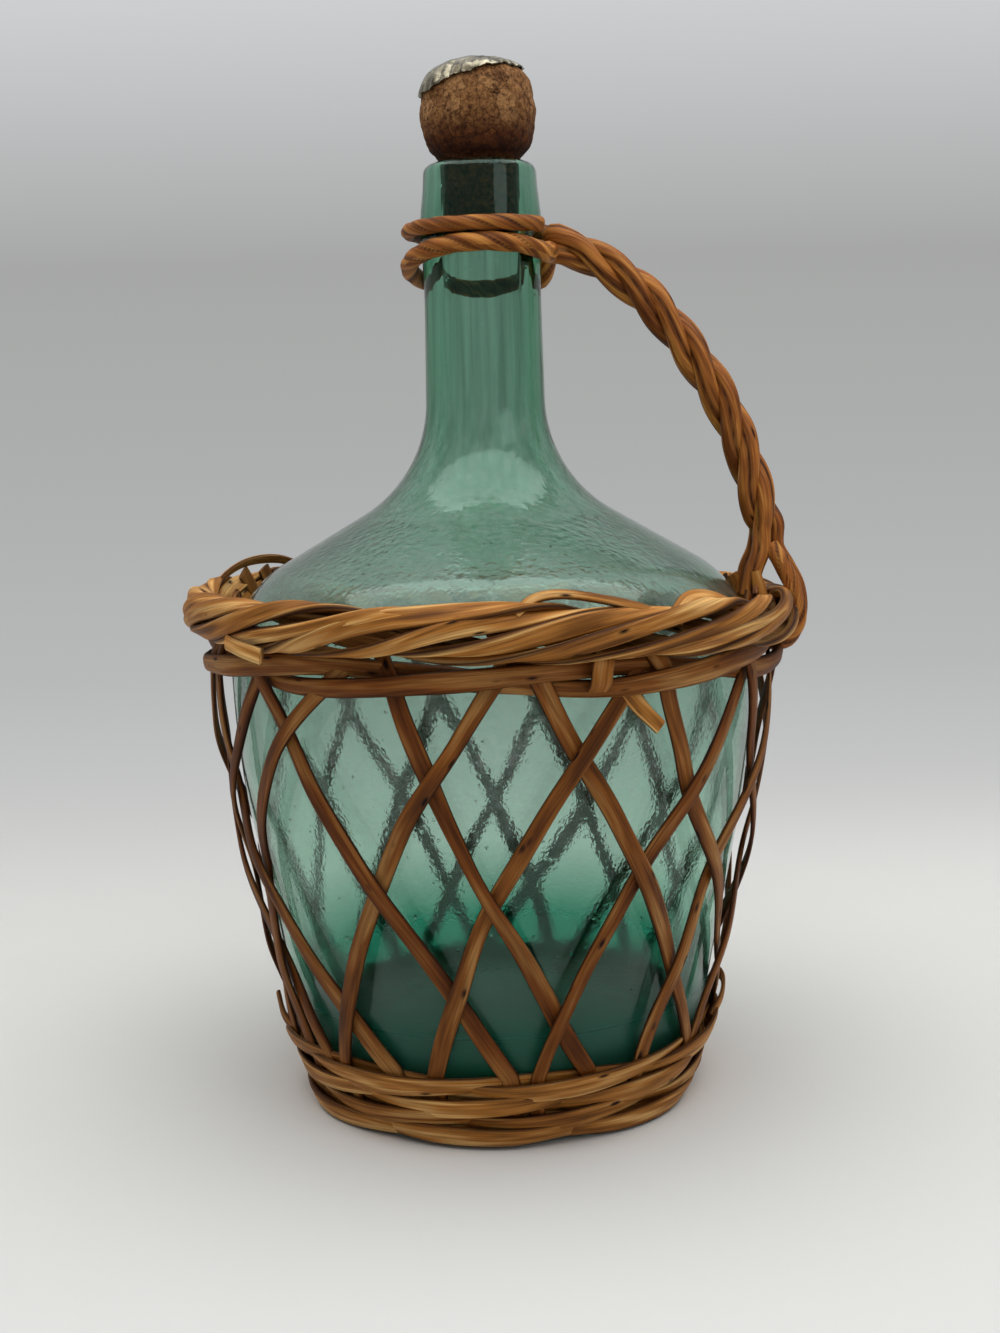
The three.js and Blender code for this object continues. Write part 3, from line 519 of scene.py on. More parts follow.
def bottleOutline(b):
    taper = math.radians(b["sideTaper"])
    slope = math.radians(b["shoulderSlope"])
    shoulderR = b["bodyRadius"] - b["shoulderRound"]
    sideR = b["bodyRadius"] - b["sideRound"]
    heelZ = b["foot"] + b["heelRound"]
    taperTop = (sideR + b["sideRound"] * math.cos(taper), b["shoulder"] - b["sideRound"] * math.sin(taper))
    taperAtHeel = taperTop[0] - (taperTop[1] - heelZ) * math.tan(taper)
    heelR = taperAtHeel - b["heelRound"] / math.cos(taper)
    ringR = heelR - b["ringWidth"]
    puntRound = (ringR ** 2 + b["puntRise"] ** 2) / (2 * b["puntRise"])
    puntZ = b["foot"] + b["puntRise"] - puntRound
    puntEdge = 90 - math.degrees(math.asin(ringR / puntRound))
    innerHeel = b["heelRound"] - b["heelWall"]
    innerHeelR = taperAtHeel - (b["wall"] + innerHeel) / math.cos(taper)
    shoulderEnd = 90 - b["shoulderSlope"]
    coneR = shoulderR + b["shoulderRound"] * math.sin(slope)
    coneZ = b["shoulder"] + b["shoulderRound"] * math.cos(slope)
    filletR = b["neckBase"] + b["neckFillet"]
    filletLowR = filletR - b["neckFillet"] * math.sin(slope)
    filletZ = coneZ + (coneR - filletLowR) * math.tan(slope) + b["neckFillet"] * math.cos(slope)
    mouth = b["mouth"]
    neckRun = throughPoints([Vector((b["neckBase"], filletZ, 0)),
                             Vector((b["neck"], mouth - b["neckTopDrop"], 0)),
                             Vector((b["collar"], mouth - b["collarDrop"], 0)),
                             Vector((b["lip"] + b["lipFlare"], mouth - b["lipRound"] - b["lipFlareDrop"], 0)),
                             Vector((b["lip"], mouth - b["lipRound"], 0))], b["neckSpacing"])
    outside = arcPoints((heelR, heelZ), b["heelRound"], -90, -b["sideTaper"], 12)
    outside += arcPoints((sideR, b["shoulder"]), b["sideRound"], -b["sideTaper"], 0, 20)[:-1]
    outside += arcPoints((shoulderR, b["shoulder"]), b["shoulderRound"], 0, shoulderEnd, 24)
    outside += arcPoints((filletR, filletZ), b["neckFillet"], 180 + shoulderEnd, 180, 18)
    outside += [(p.x, p.y) for p in neckRun[1:-1]]
    outside += arcPoints((b["lip"] - b["lipRound"], mouth - b["lipRound"]), b["lipRound"], 0, 90, 6)
    mouthR = b["bore"] + b["mouthRound"]
    inside = arcPoints((mouthR, mouth - b["mouthRound"]), b["mouthRound"], 90, 180, 5)
    steps = round((mouth - filletZ) / b["boreSpacing"])
    inside += [(b["bore"], mix(mouth - b["mouthRound"], filletZ, i / steps)) for i in range(1, steps)]
    inside += arcPoints((filletR, filletZ), filletR - b["bore"], 180, 180 + shoulderEnd, 20)
    inside += arcPoints((shoulderR, b["shoulder"]), b["shoulderRound"] - b["wall"], shoulderEnd, 0, 20)
    inside += arcPoints((sideR, b["shoulder"]), b["sideRound"] - b["wall"], 0, -b["sideTaper"], 18)[1:]
    lowR, lowZ = innerHeelR + innerHeel * math.cos(taper), heelZ - innerHeel * math.sin(taper)
    lastR, lastZ = inside[-1]
    steps = b["wallSteps"]
    inside += [(mix(lastR, lowR, i / steps), mix(lastZ, lowZ, i / steps)) for i in range(1, steps)]
    inside += arcPoints((innerHeelR, heelZ), innerHeel, -b["sideTaper"], -90, 8)
    inside += arcPoints((0, puntZ), puntRound + b["floor"], puntEdge + b["floorEdge"], 90, 14)
    under = arcPoints((0, puntZ), puntRound, 90, puntEdge, 14)
    inside[-1] = (0, inside[-1][1])
    under[0] = (0, under[0][1])
    return outside, under + outside + inside


glassOutside, glassOutline = bottleOutline(bottle)


def glassRadius(height):
    for (lowR, lowZ), (highR, highZ) in zip(glassOutside, glassOutside[1:]):
        if height <= highZ:
            return mix(lowR, highR, max((height - lowZ) / (highZ - lowZ), 0))
    return bottle["lip"]


def makeBottle():
    piece = spunPiece("bottle_of_green_glass", glassOutline, bottle["segments"])
    inner = piece.vertex_groups.new(name="inner")
    outer = piece.vertex_groups.new(name="outer")
    low, lowFull = (bottle["foot"] + rise for rise in bottle["swellFoot"])
    highFull, high = (bottle["mouth"] - drop for drop in bottle["swellMouth"])
    for vertex in piece.data.vertices:
        radius = math.hypot(vertex.co.x, vertex.co.y) / mm
        height = vertex.co.z / mm
        if low < height < high:
            steady = ease(height, low, lowFull) * (1 - ease(height, highFull, high))
            isInside = radius < glassRadius(height) - bottle["wall"] / 2
            (inner if isInside else outer).add([vertex.index], steady, "REPLACE")
    clouded(piece, *bottle["swellInside"], "inner")
    clouded(piece, *bottle["swellOutside"], "outer")
    pickOnly(piece)
    bpy.ops.object.shade_smooth()
    handOver(piece, greenGlass, "basket", "green_glass", "glass_bottle")
    print("bottle blown:", len(piece.data.polygons), "faces")


makeBottle()


# the cork and its disc

cork = {
    "headRadius": 15.5, "headRise": 26.4, "seat": bottle["mouth"] + 0.3, "shank": bottle["bore"] - 0.35,
    "bottom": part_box("cork_stopper")[0].z / mm, "chamfer": 0.8, "shankSteps": 8, "spacing": 0.7,
    "segments": 120,
    # the head's outline in shares of its radius and rise, from the mouth to the crown
    "head": ((0.72, 0.04), (0.9, 0.18), (1, 0.42), (0.985, 0.6), (0.93, 0.75), (0.8, 0.88), (0.55, 0.965),
             (0.28, 0.993), (0, 1)),
    "swellLow": 2, "swellHigh": 4, "swells": ((4, -1.1), (1.5, -0.5)),
}
disc = {
    "thickness": 0.35, "gap": 0.15, "shortest": 12.6, "longest": 19.5, "turn": 12, "lopsided": 2.5,
    "ragged": 1.2, "raggedSpread": 3.1, "flutes": 30, "fluteDepth": 0.45, "fluteStart": 0.45,
    "fluteDrift": 0.8, "fluteSpread": 2.3, "dent": 0.35, "dentSpread": 260, "spacing": 0.3, "rings": 30,
    "segments": 240, "sharpEdge": 50,
}


def headCurve(spacing):  # outline of the cork's head from the mouth up to the crown
    return throughPoints([Vector((r * cork["headRadius"], cork["seat"] + z * cork["headRise"], 0))
                          for r, z in cork["head"]], spacing)


def makeCork():
    bottom, seat, shank = cork["bottom"], cork["seat"], cork["shank"]
    steps = cork["shankSteps"]
    outline = [(0, bottom), (shank - cork["chamfer"], bottom), (shank, bottom + cork["chamfer"])]
    outline += [(shank, mix(bottom, seat, i / steps)) for i in range(2, steps + 1)]
    curve = headCurve(cork["spacing"])
    outline += [(max(p.x, 0), p.y) for p in curve[:-1]] + [(0, curve[-1].y)]
    piece = spunPiece("mushroom_cork", outline, cork["segments"])
    head = piece.vertex_groups.new(name="head")
    top = seat + cork["headRise"]
    for vertex in piece.data.vertices:
        if seat + cork["swellLow"] < vertex.co.z / mm < top - cork["swellHigh"]:
            head.add([vertex.index], 1, "REPLACE")
    for size, depth in cork["swells"]:
        clouded(piece, size, depth, "head")
    pickOnly(piece)
    bpy.ops.object.shade_smooth()
    handOver(piece, corkBark, "stopper", "cork", "cork_stopper")
    print("cork turned:", len(piece.data.polygons), "faces")


def makeDisc():
    crown = [Vector((max(p.x, 0), p.y)) for p in headCurve(disc["spacing"])[::-1]]
    crown[0].x = 0
    lengths = runningLengths(crown)
    rings = [disc["longest"] * i / disc["rings"] for i in range(disc["rings"] + 1)]
    outline = [(length, 0) for length in rings[::-1]] + [(length, 1) for length in rings]
    piece = spunPiece("crimped_disc", outline, disc["segments"])
    for vertex in piece.data.vertices:  # the flat sheet is folded down over the crown
        share = math.hypot(vertex.co.x, vertex.co.y) / mm / disc["longest"]
        angle = math.atan2(vertex.co.x, -vertex.co.y)
        upper = vertex.co.z / mm
        ring = Vector((math.cos(angle), math.sin(angle), 0))
        lopsided = (0.5 - 0.5 * math.sin(angle - math.radians(disc["turn"]))) ** disc["lopsided"]
        reach = mix(disc["shortest"], disc["longest"], lopsided)
        reach += disc["ragged"] * noise.noise(ring * disc["raggedSpread"])
        drift = disc["fluteDrift"] * noise.noise(ring * disc["fluteSpread"])
        crimp = abs(math.cos(disc["flutes"] / 2 * angle + drift))
        lift = disc["gap"] + upper * disc["thickness"]
        lift += ease(share, disc["fluteStart"], 1) * disc["fluteDepth"] * crimp
        lift += disc["dent"] * noise.noise(Vector((vertex.co.x, vertex.co.y, 0.3 * mm)) * disc["dentSpread"])
        place, ahead = reached(crown, lengths, share * reach)
        place = place + Vector((-ahead.y, ahead.x)) * lift
        spread = max(place.x, 0) if share > 0 else 0
        vertex.co = (spread * math.sin(angle) * mm, -spread * math.cos(angle) * mm, place.y * mm)
    pickOnly(piece)
    bpy.ops.object.shade_smooth_by_angle(angle=math.radians(disc["sharpEdge"]))
    handOver(piece, tinPlate, "stopper", "tin_plate", "stopper_cap")
    print("disc crimped:", len(piece.data.polygons), "faces")


makeCork()
makeDisc()


# the basket's wall, midway through its stakes

wall = {"gapLow": 2.5, "gapHigh": 4.9, "rowsTop": 20.7, "waist": 126, "flare": 0.39, "tuck": 136,
        "topRadius": 72.95}


def basketRadius(height):
    rowsTopRadius = glassRadius(wall["rowsTop"]) + wall["gapLow"]
    if height <= wall["rowsTop"]:
        return rowsTopRadius - (wall["rowsTop"] - height) * wall["flare"]
    gap = mix(wall["gapLow"], wall["gapHigh"], ease(height, wall["rowsTop"], wall["waist"]))
    onGlass = glassRadius(min(height, wall["waist"])) + gap
    return mix(onGlass, wall["topRadius"], ease(height, wall["waist"], wall["tuck"]))


# the open lattice

stakes = {
    "pairs": 14, "firstPair": 5.9, "halfAngle": 3.4, "rightLean": 43.6, "leftLean": 47.4,
    "rightBow": -3.1, "leftBow": 6.2, "foot": 6.7, "top": 140, "width": 4.5, "thickness": 1.3, "weave": 1.15,
    "weaveReach": 11, "spacing": 1.6, "meetRows": 4, "meetTop": 134, "meetSteps": 109,
    # the stakes' low tones make them darker: partly older wood, partly painted shade
    "tones": (0, 0.26), "broad": (0.82, 1.12), "leftSeed": 40,
    "wander": (22, 0.9), "widthWaver": (30, 0.28), "thicknessWaver": (18, 0.2),
    # degrees that a stake strays from the even lattice at the rows, half way up and at the waist
    "anyStray": 2,
    "rightStray": {12: (8.7, -11.2, -5.1), 13: (-1.1, -0.9, -0.1), 14: (0.2, -1.3, 0.1), 1: (-0.9, 1.4, 8),
                   2: (1.6, 0.6, 5.2)},
    "leftStray": {14: (-4.5, -7.9, 2.2), 1: (-0.1, 1.7, -4.1), 2: (-6.6, -1.3, 1), 3: (2.3, 6.4, 1.3),
                  4: (8.9, 0.9, -0.5)},
}
stakeStep = fullTurn / stakes["pairs"]


def strayTable(given):
    table = {}
    for number in range(1, stakes["pairs"] + 1):
        drawn = tuple(draw.uniform(-stakes["anyStray"], stakes["anyStray"]) for _ in range(3))
        table[number] = given.get(number, drawn)
    return table


stray = {1: strayTable(stakes["rightStray"]), -1: strayTable(stakes["leftStray"])}


def stakeAzimuth(number, lean, height):
    climb = max((height - wall["rowsTop"]) / (wall["waist"] - wall["rowsTop"]), 0)
    hand = "right" if lean > 0 else "left"
    swing = stakes["halfAngle"] + stakes[hand + "Lean"] * climb
    swing += stakes[hand + "Bow"] * 4 * climb * max(1 - climb, 0)
    low, middle, high = stray[lean][number]
    t = min(climb, 1.1)
    strayed = low * (1 - t) * (1 - 2 * t) + middle * 4 * t * (1 - t) + high * t * (2 * t - 1)
    return stakes["firstPair"] + (number - 1) * stakeStep + lean * swing + strayed


def crossings(number, lean):  # heights where this stake meets the ones that lean the other way
    found = []
    for row in range(1, stakes["meetRows"] + 1):
        other = (number - 1 + lean * row) % stakes["pairs"] + 1
        last = None
        for i in range(stakes["meetSteps"] + 1):
            height = mix(wall["rowsTop"], stakes["meetTop"], i / stakes["meetSteps"])
            apart = stakeAzimuth(other, -lean, height) - stakeAzimuth(number, lean, height)
            apart = (apart * lean + 180) % fullTurn - 180
            if last is not None and last > 0 >= apart and last - apart < 90:
                found.append((height, 1 if (row % 2 == 1) == (lean > 0) else -1))
            last = apart
    return found


def makeStake(number, lean):
    meets = crossings(number, lean)
    seed = number + (stakes["leftSeed"] if lean < 0 else 0)
    count = round((stakes["top"] - stakes["foot"]) / stakes["spacing"])
    tone = draw.uniform(*stakes["tones"])
    broad = draw.uniform(*stakes["broad"])
    stations = []
    for i in range(count + 1):
        height = mix(stakes["foot"], stakes["top"], i / count)
        lift = sum(side * stakes["weave"] * math.exp(-((height - meet) / stakes["weaveReach"]) ** 2)
                   for meet, side in meets)
        azimuth = stakeAzimuth(number, lean, height) + waver(height, seed, stakes["wander"])
        radius = basketRadius(height) + lift
        width = stakes["width"] * broad * (1 + waver(height, seed + 3, stakes["widthWaver"]))
        thickness = stakes["thickness"] * (1 + waver(height, seed + 5, stakes["thicknessWaver"]))
        stations.append((polar(radius, azimuth, height), polar(1, azimuth, 0), width, thickness))
    name = ("right" if lean > 0 else "left") + f"_stake_{number:02d}"
    piece = rollStrand("willow_" + name, stations, tone)
    handOver(piece, basketWillow, "basket", "willow", name)


for stakeNumber in range(1, stakes["pairs"] + 1):
    makeStake(stakeNumber, 1)
    makeStake(stakeNumber, -1)
print("lattice laid:", 2 * stakes["pairs"], "stakes")


# the rim hangs a little lower towards the handle, and the waist band with it
sag = {"rim": 4.5, "waist": 2.6, "spread": 62}


def sagged(azimuth, depth):
    off = (azimuth - 90 + 180) % fullTurn - 180
    return -depth * math.exp(-(off / sag["spread"]) ** 2)


# twined rows: two flat strands change places between the stakes, the one that comes out in front

twine = {
    "swaps": 7, "crossTilt": 14, "stations": 420, "endGap": 0.3, "taper": 12, "underside": 0.55, "feet": 3,
    "shareWaver": (24, 0.07), "reachWaver": (30, 0.25), "riseWaver": (40, 0.7), "widthWaver": (26, 0.3),
    "thicknessWaver": (20, 0.25),
}
rows = {
    **twine, "heights": (2.6, 8.4, 13.4, 18.3), "reach": 1.75, "rise": 1.2, "drift": 0.9, "width": 6,
    "thickness": 1.5, "form": flatSplit, "tilt": math.degrees(math.atan(wall["flare"])), "sag": 0,
    "tones": (0.5, 0.9), "footRise": 0.5, "footGap": 1, "footOut": 1.6,
}
band = {
    **twine, "reach": 2.4, "rise": 2.8, "drift": 0.7, "width": 5.3, "thickness": 2.3,
    "form": (0.75, 0.9, 0.6), "tilt": 2, "sag": sag["waist"], "tones": (0, 0.2), "footGap": 0, "drop": 1.9,
}
backPair = stakes["firstPair"] + stakes["pairs"] / 2 * stakeStep


def twinedStrand(name, look, radius, height, start, side):
    seed = draw.uniform(0, 90)
    tone = draw.uniform(*look["tones"])
    tilt = math.radians(look["tilt"])
    ends = look["endGap"] / radius
    length = 2 * math.pi * radius
    stations = []
    for i in range(look["stations"] + 1):
        t = i / look["stations"]
        place = t * length
        swap = min(int(t * look["swaps"]), look["swaps"] - 1)
        share = t * look["swaps"] - swap
        share = mix(ease(share, 0, 1), share, look["drift"]) + waver(place, seed + 8, look["shareWaver"])
        turn = math.pi * (side + swap + share)
        azimuth = start + math.degrees(mix(ends, 2 * math.pi - ends, t))
        across = polar(math.cos(tilt), azimuth, -math.sin(tilt))
        upward = polar(math.sin(tilt), azimuth, math.cos(tilt))
        reach = look["reach"] + waver(place, seed, look["reachWaver"])
        centre = polar(radius, azimuth, height + sagged(azimuth, look["sag"]))
        centre += across * reach * math.cos(turn)
        centre += upward * (look["rise"] * math.sin(turn) + waver(place, seed + 2, look["riseWaver"]))
        lean = math.radians(look["crossTilt"]) * abs(math.sin(turn)) ** 3
        facing = across * math.cos(lean) - upward * math.sin(lean)
        width = look["width"] * (1 + waver(place, seed + 4, look["widthWaver"]))
        width *= tapered(place, length, look["taper"])
        thickness = look["thickness"] * (1 + waver(place, seed + 6, look["thicknessWaver"]))
        # the lowest row stands on a few places and is lifted between them
        low = centre.z - look["underside"] * width * math.cos(tilt - lean)
        ground = look["footGap"] * (0.5 + 0.5 * math.cos(math.radians(look["feet"] * azimuth)))
        if low < ground:
            centre.z += ground - low
        stations.append((centre, facing, width, thickness))
    return rollStrand(name, stations, tone, form=look["form"])


for row, rowHeight in enumerate(rows["heights"]):
    rowLook = {**rows, "rise": rows["rise"] if row else rows["footRise"]}
    rowRadius = basketRadius(rowHeight) + (0 if row else rows["footOut"])
    for side, letter in enumerate("ab"):
        node = f"base_row_{row + 1:02d}_{letter}"
        piece = twinedStrand("willow_" + node, rowLook, rowRadius, rowHeight,
                             backPair + (row + 0.5) * stakeStep, side)
        handOver(piece, basketWillow, "basket", "willow", node)
for side, letter in enumerate("ab"):
    node = "waist_strand_" + letter
    piece = twinedStrand("willow_" + node, band, basketRadius(wall["waist"]), wall["waist"],
                         backPair - band["drop"] + stakeStep / 2, side)
    handOver(piece, basketWillow, "basket", "willow", node)
print("rows and waist band twined")


# the rim: three strands of two flat rods each, laid round one another

rim = {
    "radius": 80, "height": 137.6, "layRadius": 2.9, "layHeight": 4.8, "strands": 3, "turns": 4, "rods": 2,
    "rodWidth": 4.5, "rodThickness": 2.2, "spread": 54, "shingle": 16, "stations": 360, "endGap": 0.3,
    "taper": 14, "sides": 16, "tones": (0.7, 1),
    "wander": (45, 42), "slackWaver": (35, 0.4), "widthWaver": (32, 0.4), "thicknessWaver": (24, 0.25),
}


def rimRod(name, strand, rod):
    seed = draw.uniform(0, 90)
    length = 2 * math.pi * rim["radius"]
    stations = []
    for i in range(rim["stations"] + 1):
        t = i / rim["stations"]
        place = t * length
        azimuth = 180 + mix(rim["endGap"], fullTurn - rim["endGap"], t)
        turn = fullTurn * (rim["turns"] * t + strand / rim["strands"])
        turn += rim["spread"] * (rod - (rim["rods"] - 1) / 2) + waver(place, seed, rim["wander"])
        angle = math.radians(turn)
        slack = 1 + waver(place, seed + 3, rim["slackWaver"])
        height = rim["height"] + sagged(azimuth, sag["rim"]) + rim["layHeight"] * slack * math.sin(angle)
        centre = polar(rim["radius"] + rim["layRadius"] * slack * math.cos(angle), azimuth, height)
        normal = math.atan2(math.sin(angle) / rim["layHeight"], math.cos(angle) / rim["layRadius"])
        normal -= math.radians(rim["shingle"])
        facing = polar(math.cos(normal), azimuth, math.sin(normal))
        width = rim["rodWidth"] * (1 + waver(place, seed + 5, rim["widthWaver"]))
        width *= tapered(place, length, rim["taper"])
        thickness = rim["rodThickness"] * (1 + waver(place, seed + 7, rim["thicknessWaver"]))
        stations.append((centre, facing, width, thickness))
    return rollStrand(name, stations, draw.uniform(*rim["tones"]), sides=rim["sides"])


for strand in range(rim["strands"]):
    node = f"rim_strand_{strand + 1:02d}"
    rods = [rimRod(f"{node}_rod_{rod}", strand, rod) for rod in range(rim["rods"])]
    piece = joined("willow_" + node, rods)
    handOver(piece, basketWillow, "basket", "willow", node)
print("rim laid:", rim["strands"] * rim["rods"], "rods")


# ends of splits that stand loose: each path in degrees round, millimetres out and millimetres up

splitEnd = {"spacing": 0.9, "widthWaver": (12, 0.25)}
looseEnds = {
    "wrap_tab": {"path": ((19.4, 77.5, 132), (19, 80.8, 130.4), (18.4, 81.7, 127.4), (18.2, 81.5, 124.4),
                          (18.2, 79, 122.4)), "width": 6.4, "thickness": 1, "tone": 0.4},
    "stub": {"path": ((24.4, 77.3, 121.5), (27.5, 77.4, 116.6), (31.2, 77.6, 111.7)),
             "width": 4.6, "thickness": 1.2, "tone": 0.9},
    "thin_arch": {"path": ((4, 81, 141.4), (7.2, 79.4, 144.8), (12.2, 78.8, 145.6), (19.2, 79.2, 144),
                           (26, 80, 141.5), (31, 80.8, 138.6)),
                  "width": 2.8, "thickness": 1.3, "tone": 0.8, "tip": 1},
    "short_arch": {"path": ((32, 82, 138), (36.5, 80, 141.9), (41, 79, 142.3), (46, 79.2, 140.8),
                            (50, 80, 138.4)), "width": 4.6, "thickness": 1.4, "tone": 0.85, "tip": 1},
    "broken_end": {"path": ((-52, 83.6, 133.4), (-47, 84.3, 132.3), (-41.8, 84, 131)),
                   "width": 4, "thickness": 1.3, "tone": 1},
    "back_arch": {"path": ((-97, 80, 139), (-102, 78.2, 144.2), (-112, 76.8, 147.4), (-124, 76.5, 147),
                           (-134, 77.5, 142.5)), "width": 3, "thickness": 1.3, "tone": 0.8, "tip": 0.6},
    "back_end_a": {"path": ((-115, 75.8, 133), (-113, 76.2, 139), (-110, 77, 144.6)),
                   "width": 5, "thickness": 1.3, "tone": 0.7},
    "back_end_b": {"path": ((-122, 75.6, 133), (-120, 76, 139.5), (-118, 76.6, 145)),
                   "width": 4.6, "thickness": 1.3, "tone": 0.6},
    "foot_end_left": {"path": ((-74, 59.4, 19.5), (-80, 62, 22.5), (-86, 63.4, 26.5)),
                      "width": 3.6, "thickness": 1.3, "tone": 0.7},
    "foot_loop_right": {"path": ((78, 59.9, 19), (84, 62.8, 23), (89, 63.7, 26.5), (93, 62.4, 27),
                                 (95, 60.4, 23)), "width": 3.2, "thickness": 1.2, "tone": 0.7},
}


def looseEnd(name, look):
    path = throughPoints([polar(r, a, z) for a, r, z in look["path"]], splitEnd["spacing"])
    stations = []
    for i, centre in enumerate(path):
        facing = Vector((centre.x, centre.y, 0)).normalized() + Vector((0, 0, look.get("tip", 0)))
        width = look["width"] * (1 + waver(i, len(name), splitEnd["widthWaver"]))
        stations.append((centre, facing, width, look["thickness"]))
    piece = rollStrand("willow_" + name, stations, look["tone"])
    handOver(piece, basketWillow, "basket", "willow")


for endName, endLook in looseEnds.items():
    looseEnd(endName, endLook)
print("loose ends set:", len(looseEnds))


# the floor of the basket: crossed sticks, and flat weavers over and under them

floor = {
    "sticksEachWay": 3, "stickPitch": 4.2, "stickWidth": 3.2, "stickThickness": 1.6, "height": 5.6,
    "crossReach": 9, "flatReach": 17, "step": 0.95, "stickSteps": 48,
    "weavers": 4, "weaverPitch": 7.9, "weaverWidth": 6.4, "weaverThickness": 1.3, "weaverRise": 1.75,
    "weaverSteps": 12, "endGap": 0.01, "ease": 1.1, "footInside": 2.65, "tones": (0.2, 0.7), "sides": 8,
}


def floorStrand(node, centres, width, thickness):
    stations = [(centre, Vector((0, 0, 1)), width, thickness) for centre in centres]
    tone = draw.uniform(*floor["tones"])
    piece = rollStrand("willow_" + node, stations, tone, sides=floor["sides"], crown=0.5)
    handOver(piece, basketWillow, "basket", "willow", node)


def makeFloor():
    fan = 90 / floor["sticksEachWay"]
    reach = basketRadius(floor["height"])
    number = 0
    for way in range(2):
        for i in range(floor["sticksEachWay"]):
            off = i - (floor["sticksEachWay"] - 1) / 2
            endX = reach * math.cos(math.radians(off * fan))
            endY = reach * math.sin(math.radians(off * fan))
            centres = []
            for k in range(floor["stickSteps"] + 1):
                x = mix(-endX, endX, k / floor["stickSteps"])
                fanned = max(abs(x) - floor["crossReach"], 0) / (endX - floor["crossReach"])
                y = mix(off * floor["stickPitch"], endY, fanned)
                lift = floor["step"] * (1 - ease(abs(x), floor["crossReach"], floor["flatReach"]))
                if way == 0:
                    centres.append(Vector((x, y, floor["height"] - lift)))
                else:
                    centres.append(Vector((-y, x, floor["height"] + lift)))
            number += 1
            floorStrand(f"base_stick_{number:02d}", centres, floor["stickWidth"], floor["stickThickness"])
    spokes = 4 * floor["sticksEachWay"]
    outermost = basketRadius(rows["heights"][0]) - floor["footInside"] - floor["weaverWidth"] / 2
    steps = spokes * floor["weaverSteps"]
    for ring in range(floor["weavers"]):
        radius = outermost - (floor["weavers"] - 1 - ring) * floor["weaverPitch"]
        flat = (floor["stickWidth"] / 2 + floor["ease"]) / (radius * 2 * math.pi / spokes)
        centres = []
        for k in range(steps + 1):
            along = 0.5 + mix(floor["endGap"], spokes - floor["endGap"], k / steps)
            spoke = int(along)
            change = ease(along - spoke, flat, 1 - flat)
            sides = [1 if (s + ring) % 2 == 0 else -1 for s in (spoke, spoke + 1)]
            rise = floor["weaverRise"] * mix(sides[0], sides[1], change)
            centres.append(polar(radius, along * fullTurn / spokes, floor["height"] + rise))
        floorStrand(f"base_weaver_{ring + 1:02d}", centres, floor["weaverWidth"], floor["weaverThickness"])
    print("basket floor woven")


makeFloor()


# the handle: three rods laid into a rope, two of them one long rod looped round the neck

handle = {
    "spine": ((18.5, 232.6), (27, 231.4), (45.3, 218), (65.3, 189.8), (75.4, 160.3), (77, 155)),
    "spineSpacing": 0.5, "ropeSteps": 24, "turns": 7 / 3, "lay": 2.7, "ropeGirth": 2.85,
    "loopRadius": 19.65, "lowerGirth": 2.5, "lowerLoop": 228.2, "lowerTilt": 4.6, "lowerLeave": 60,
    "upperGirth": 2.1, "upperLoop": 237.6, "upperLeave": 112, "upperStub": 52, "loopStep": 15,
    # the feet, from the rim's crest
    "rimCrest": (80, 0, 143.8),
    "insideFoot": ((-5, 3.6, 5.4), (-7.2, 4.4, 0.2), (-8.8, 5, -6.8)),
    "outsideFoot": ((-0.6, 0, 6.2), (2.2, 0, 1), (5, -0.6, -4.8), (5.4, -1.6, -11.8), (3, -2.6, -17),
                    (-1, -3, -18.6)),
    "creases": 3, "creaseDepth": 0.17, "ropeTwist": -3, "loopTwist": 13, "girthWaver": (14, 0.14),
    "longTone": 0.8, "shortTone": 0.45, "spacing": 1.1, "sides": 24,
}


def ropeRun(share):
    spine = throughPoints([Vector((x, z, 0)) for x, z in handle["spine"]], handle["spineSpacing"])
    lengths = runningLengths(spine)
    run = []
    for i in range(handle["ropeSteps"] + 1):
        t = i / handle["ropeSteps"]
        here, along = reached(spine, lengths, lengths[-1] * t)
        turn = 2 * math.pi * (share - handle["turns"] * t)
        out = handle["lay"] * math.cos(turn)
        aside = handle["lay"] * math.sin(turn)
        run.append(Vector((here.x - along.y * out, aside, here.y + along.x * out)))
    return run


def loopRun(start, stop, height, tilt):
    steps = round(abs(stop - start) / handle["loopStep"])
    azimuths = [mix(start, stop, i / steps) for i in range(steps + 1)]
    return [polar(handle["loopRadius"], a, height + tilt * math.cos(math.radians(a))) for a in azimuths]


def twistedRod(name, runs, tone):
    points = [point for run, girth in runs for point in run]
    girths = [girth for run, girth in runs for point in run]
    path = throughPoints(points, handle["spacing"])
    marks = [0]
    for before, here in zip(points, points[1:]):
        marks.append(marks[-1] + max(round((here - before).length / handle["spacing"]), 1))
    stations = []
    twists = [0]
    outward = Vector((0.1, 0.3, 1))
    for i, centre in enumerate(path):
        ahead = path[min(i + 1, len(path) - 1)] - path[max(i - 1, 0)]
        outward = (outward - ahead * outward.dot(ahead) / ahead.length_squared).normalized()
        k = min(max(m for m, mark in enumerate(marks) if mark <= i), len(marks) - 2)
        girth = mix(girths[k], girths[k + 1], (i - marks[k]) / (marks[k + 1] - marks[k]))
        girth *= 1 + waver(i * handle["spacing"], len(path), handle["girthWaver"])
        onLoop = ease(girths[k], handle["ropeGirth"], handle["lowerGirth"])
        twists.append(twists[-1] + mix(handle["ropeTwist"], handle["loopTwist"], onLoop) * handle["spacing"])
        stations.append((centre, outward, 2 * girth, 2 * girth))
    return rollStrand(name, stations, tone, sides=handle["sides"], crown=0.5, form=roundRod,
                      creases=handle["creases"], creaseDepth=handle["creaseDepth"], twists=twists)


def foot(points, side):
    return [Vector((x, side * y, z)) + Vector(handle["rimCrest"]) for x, y, z in points]


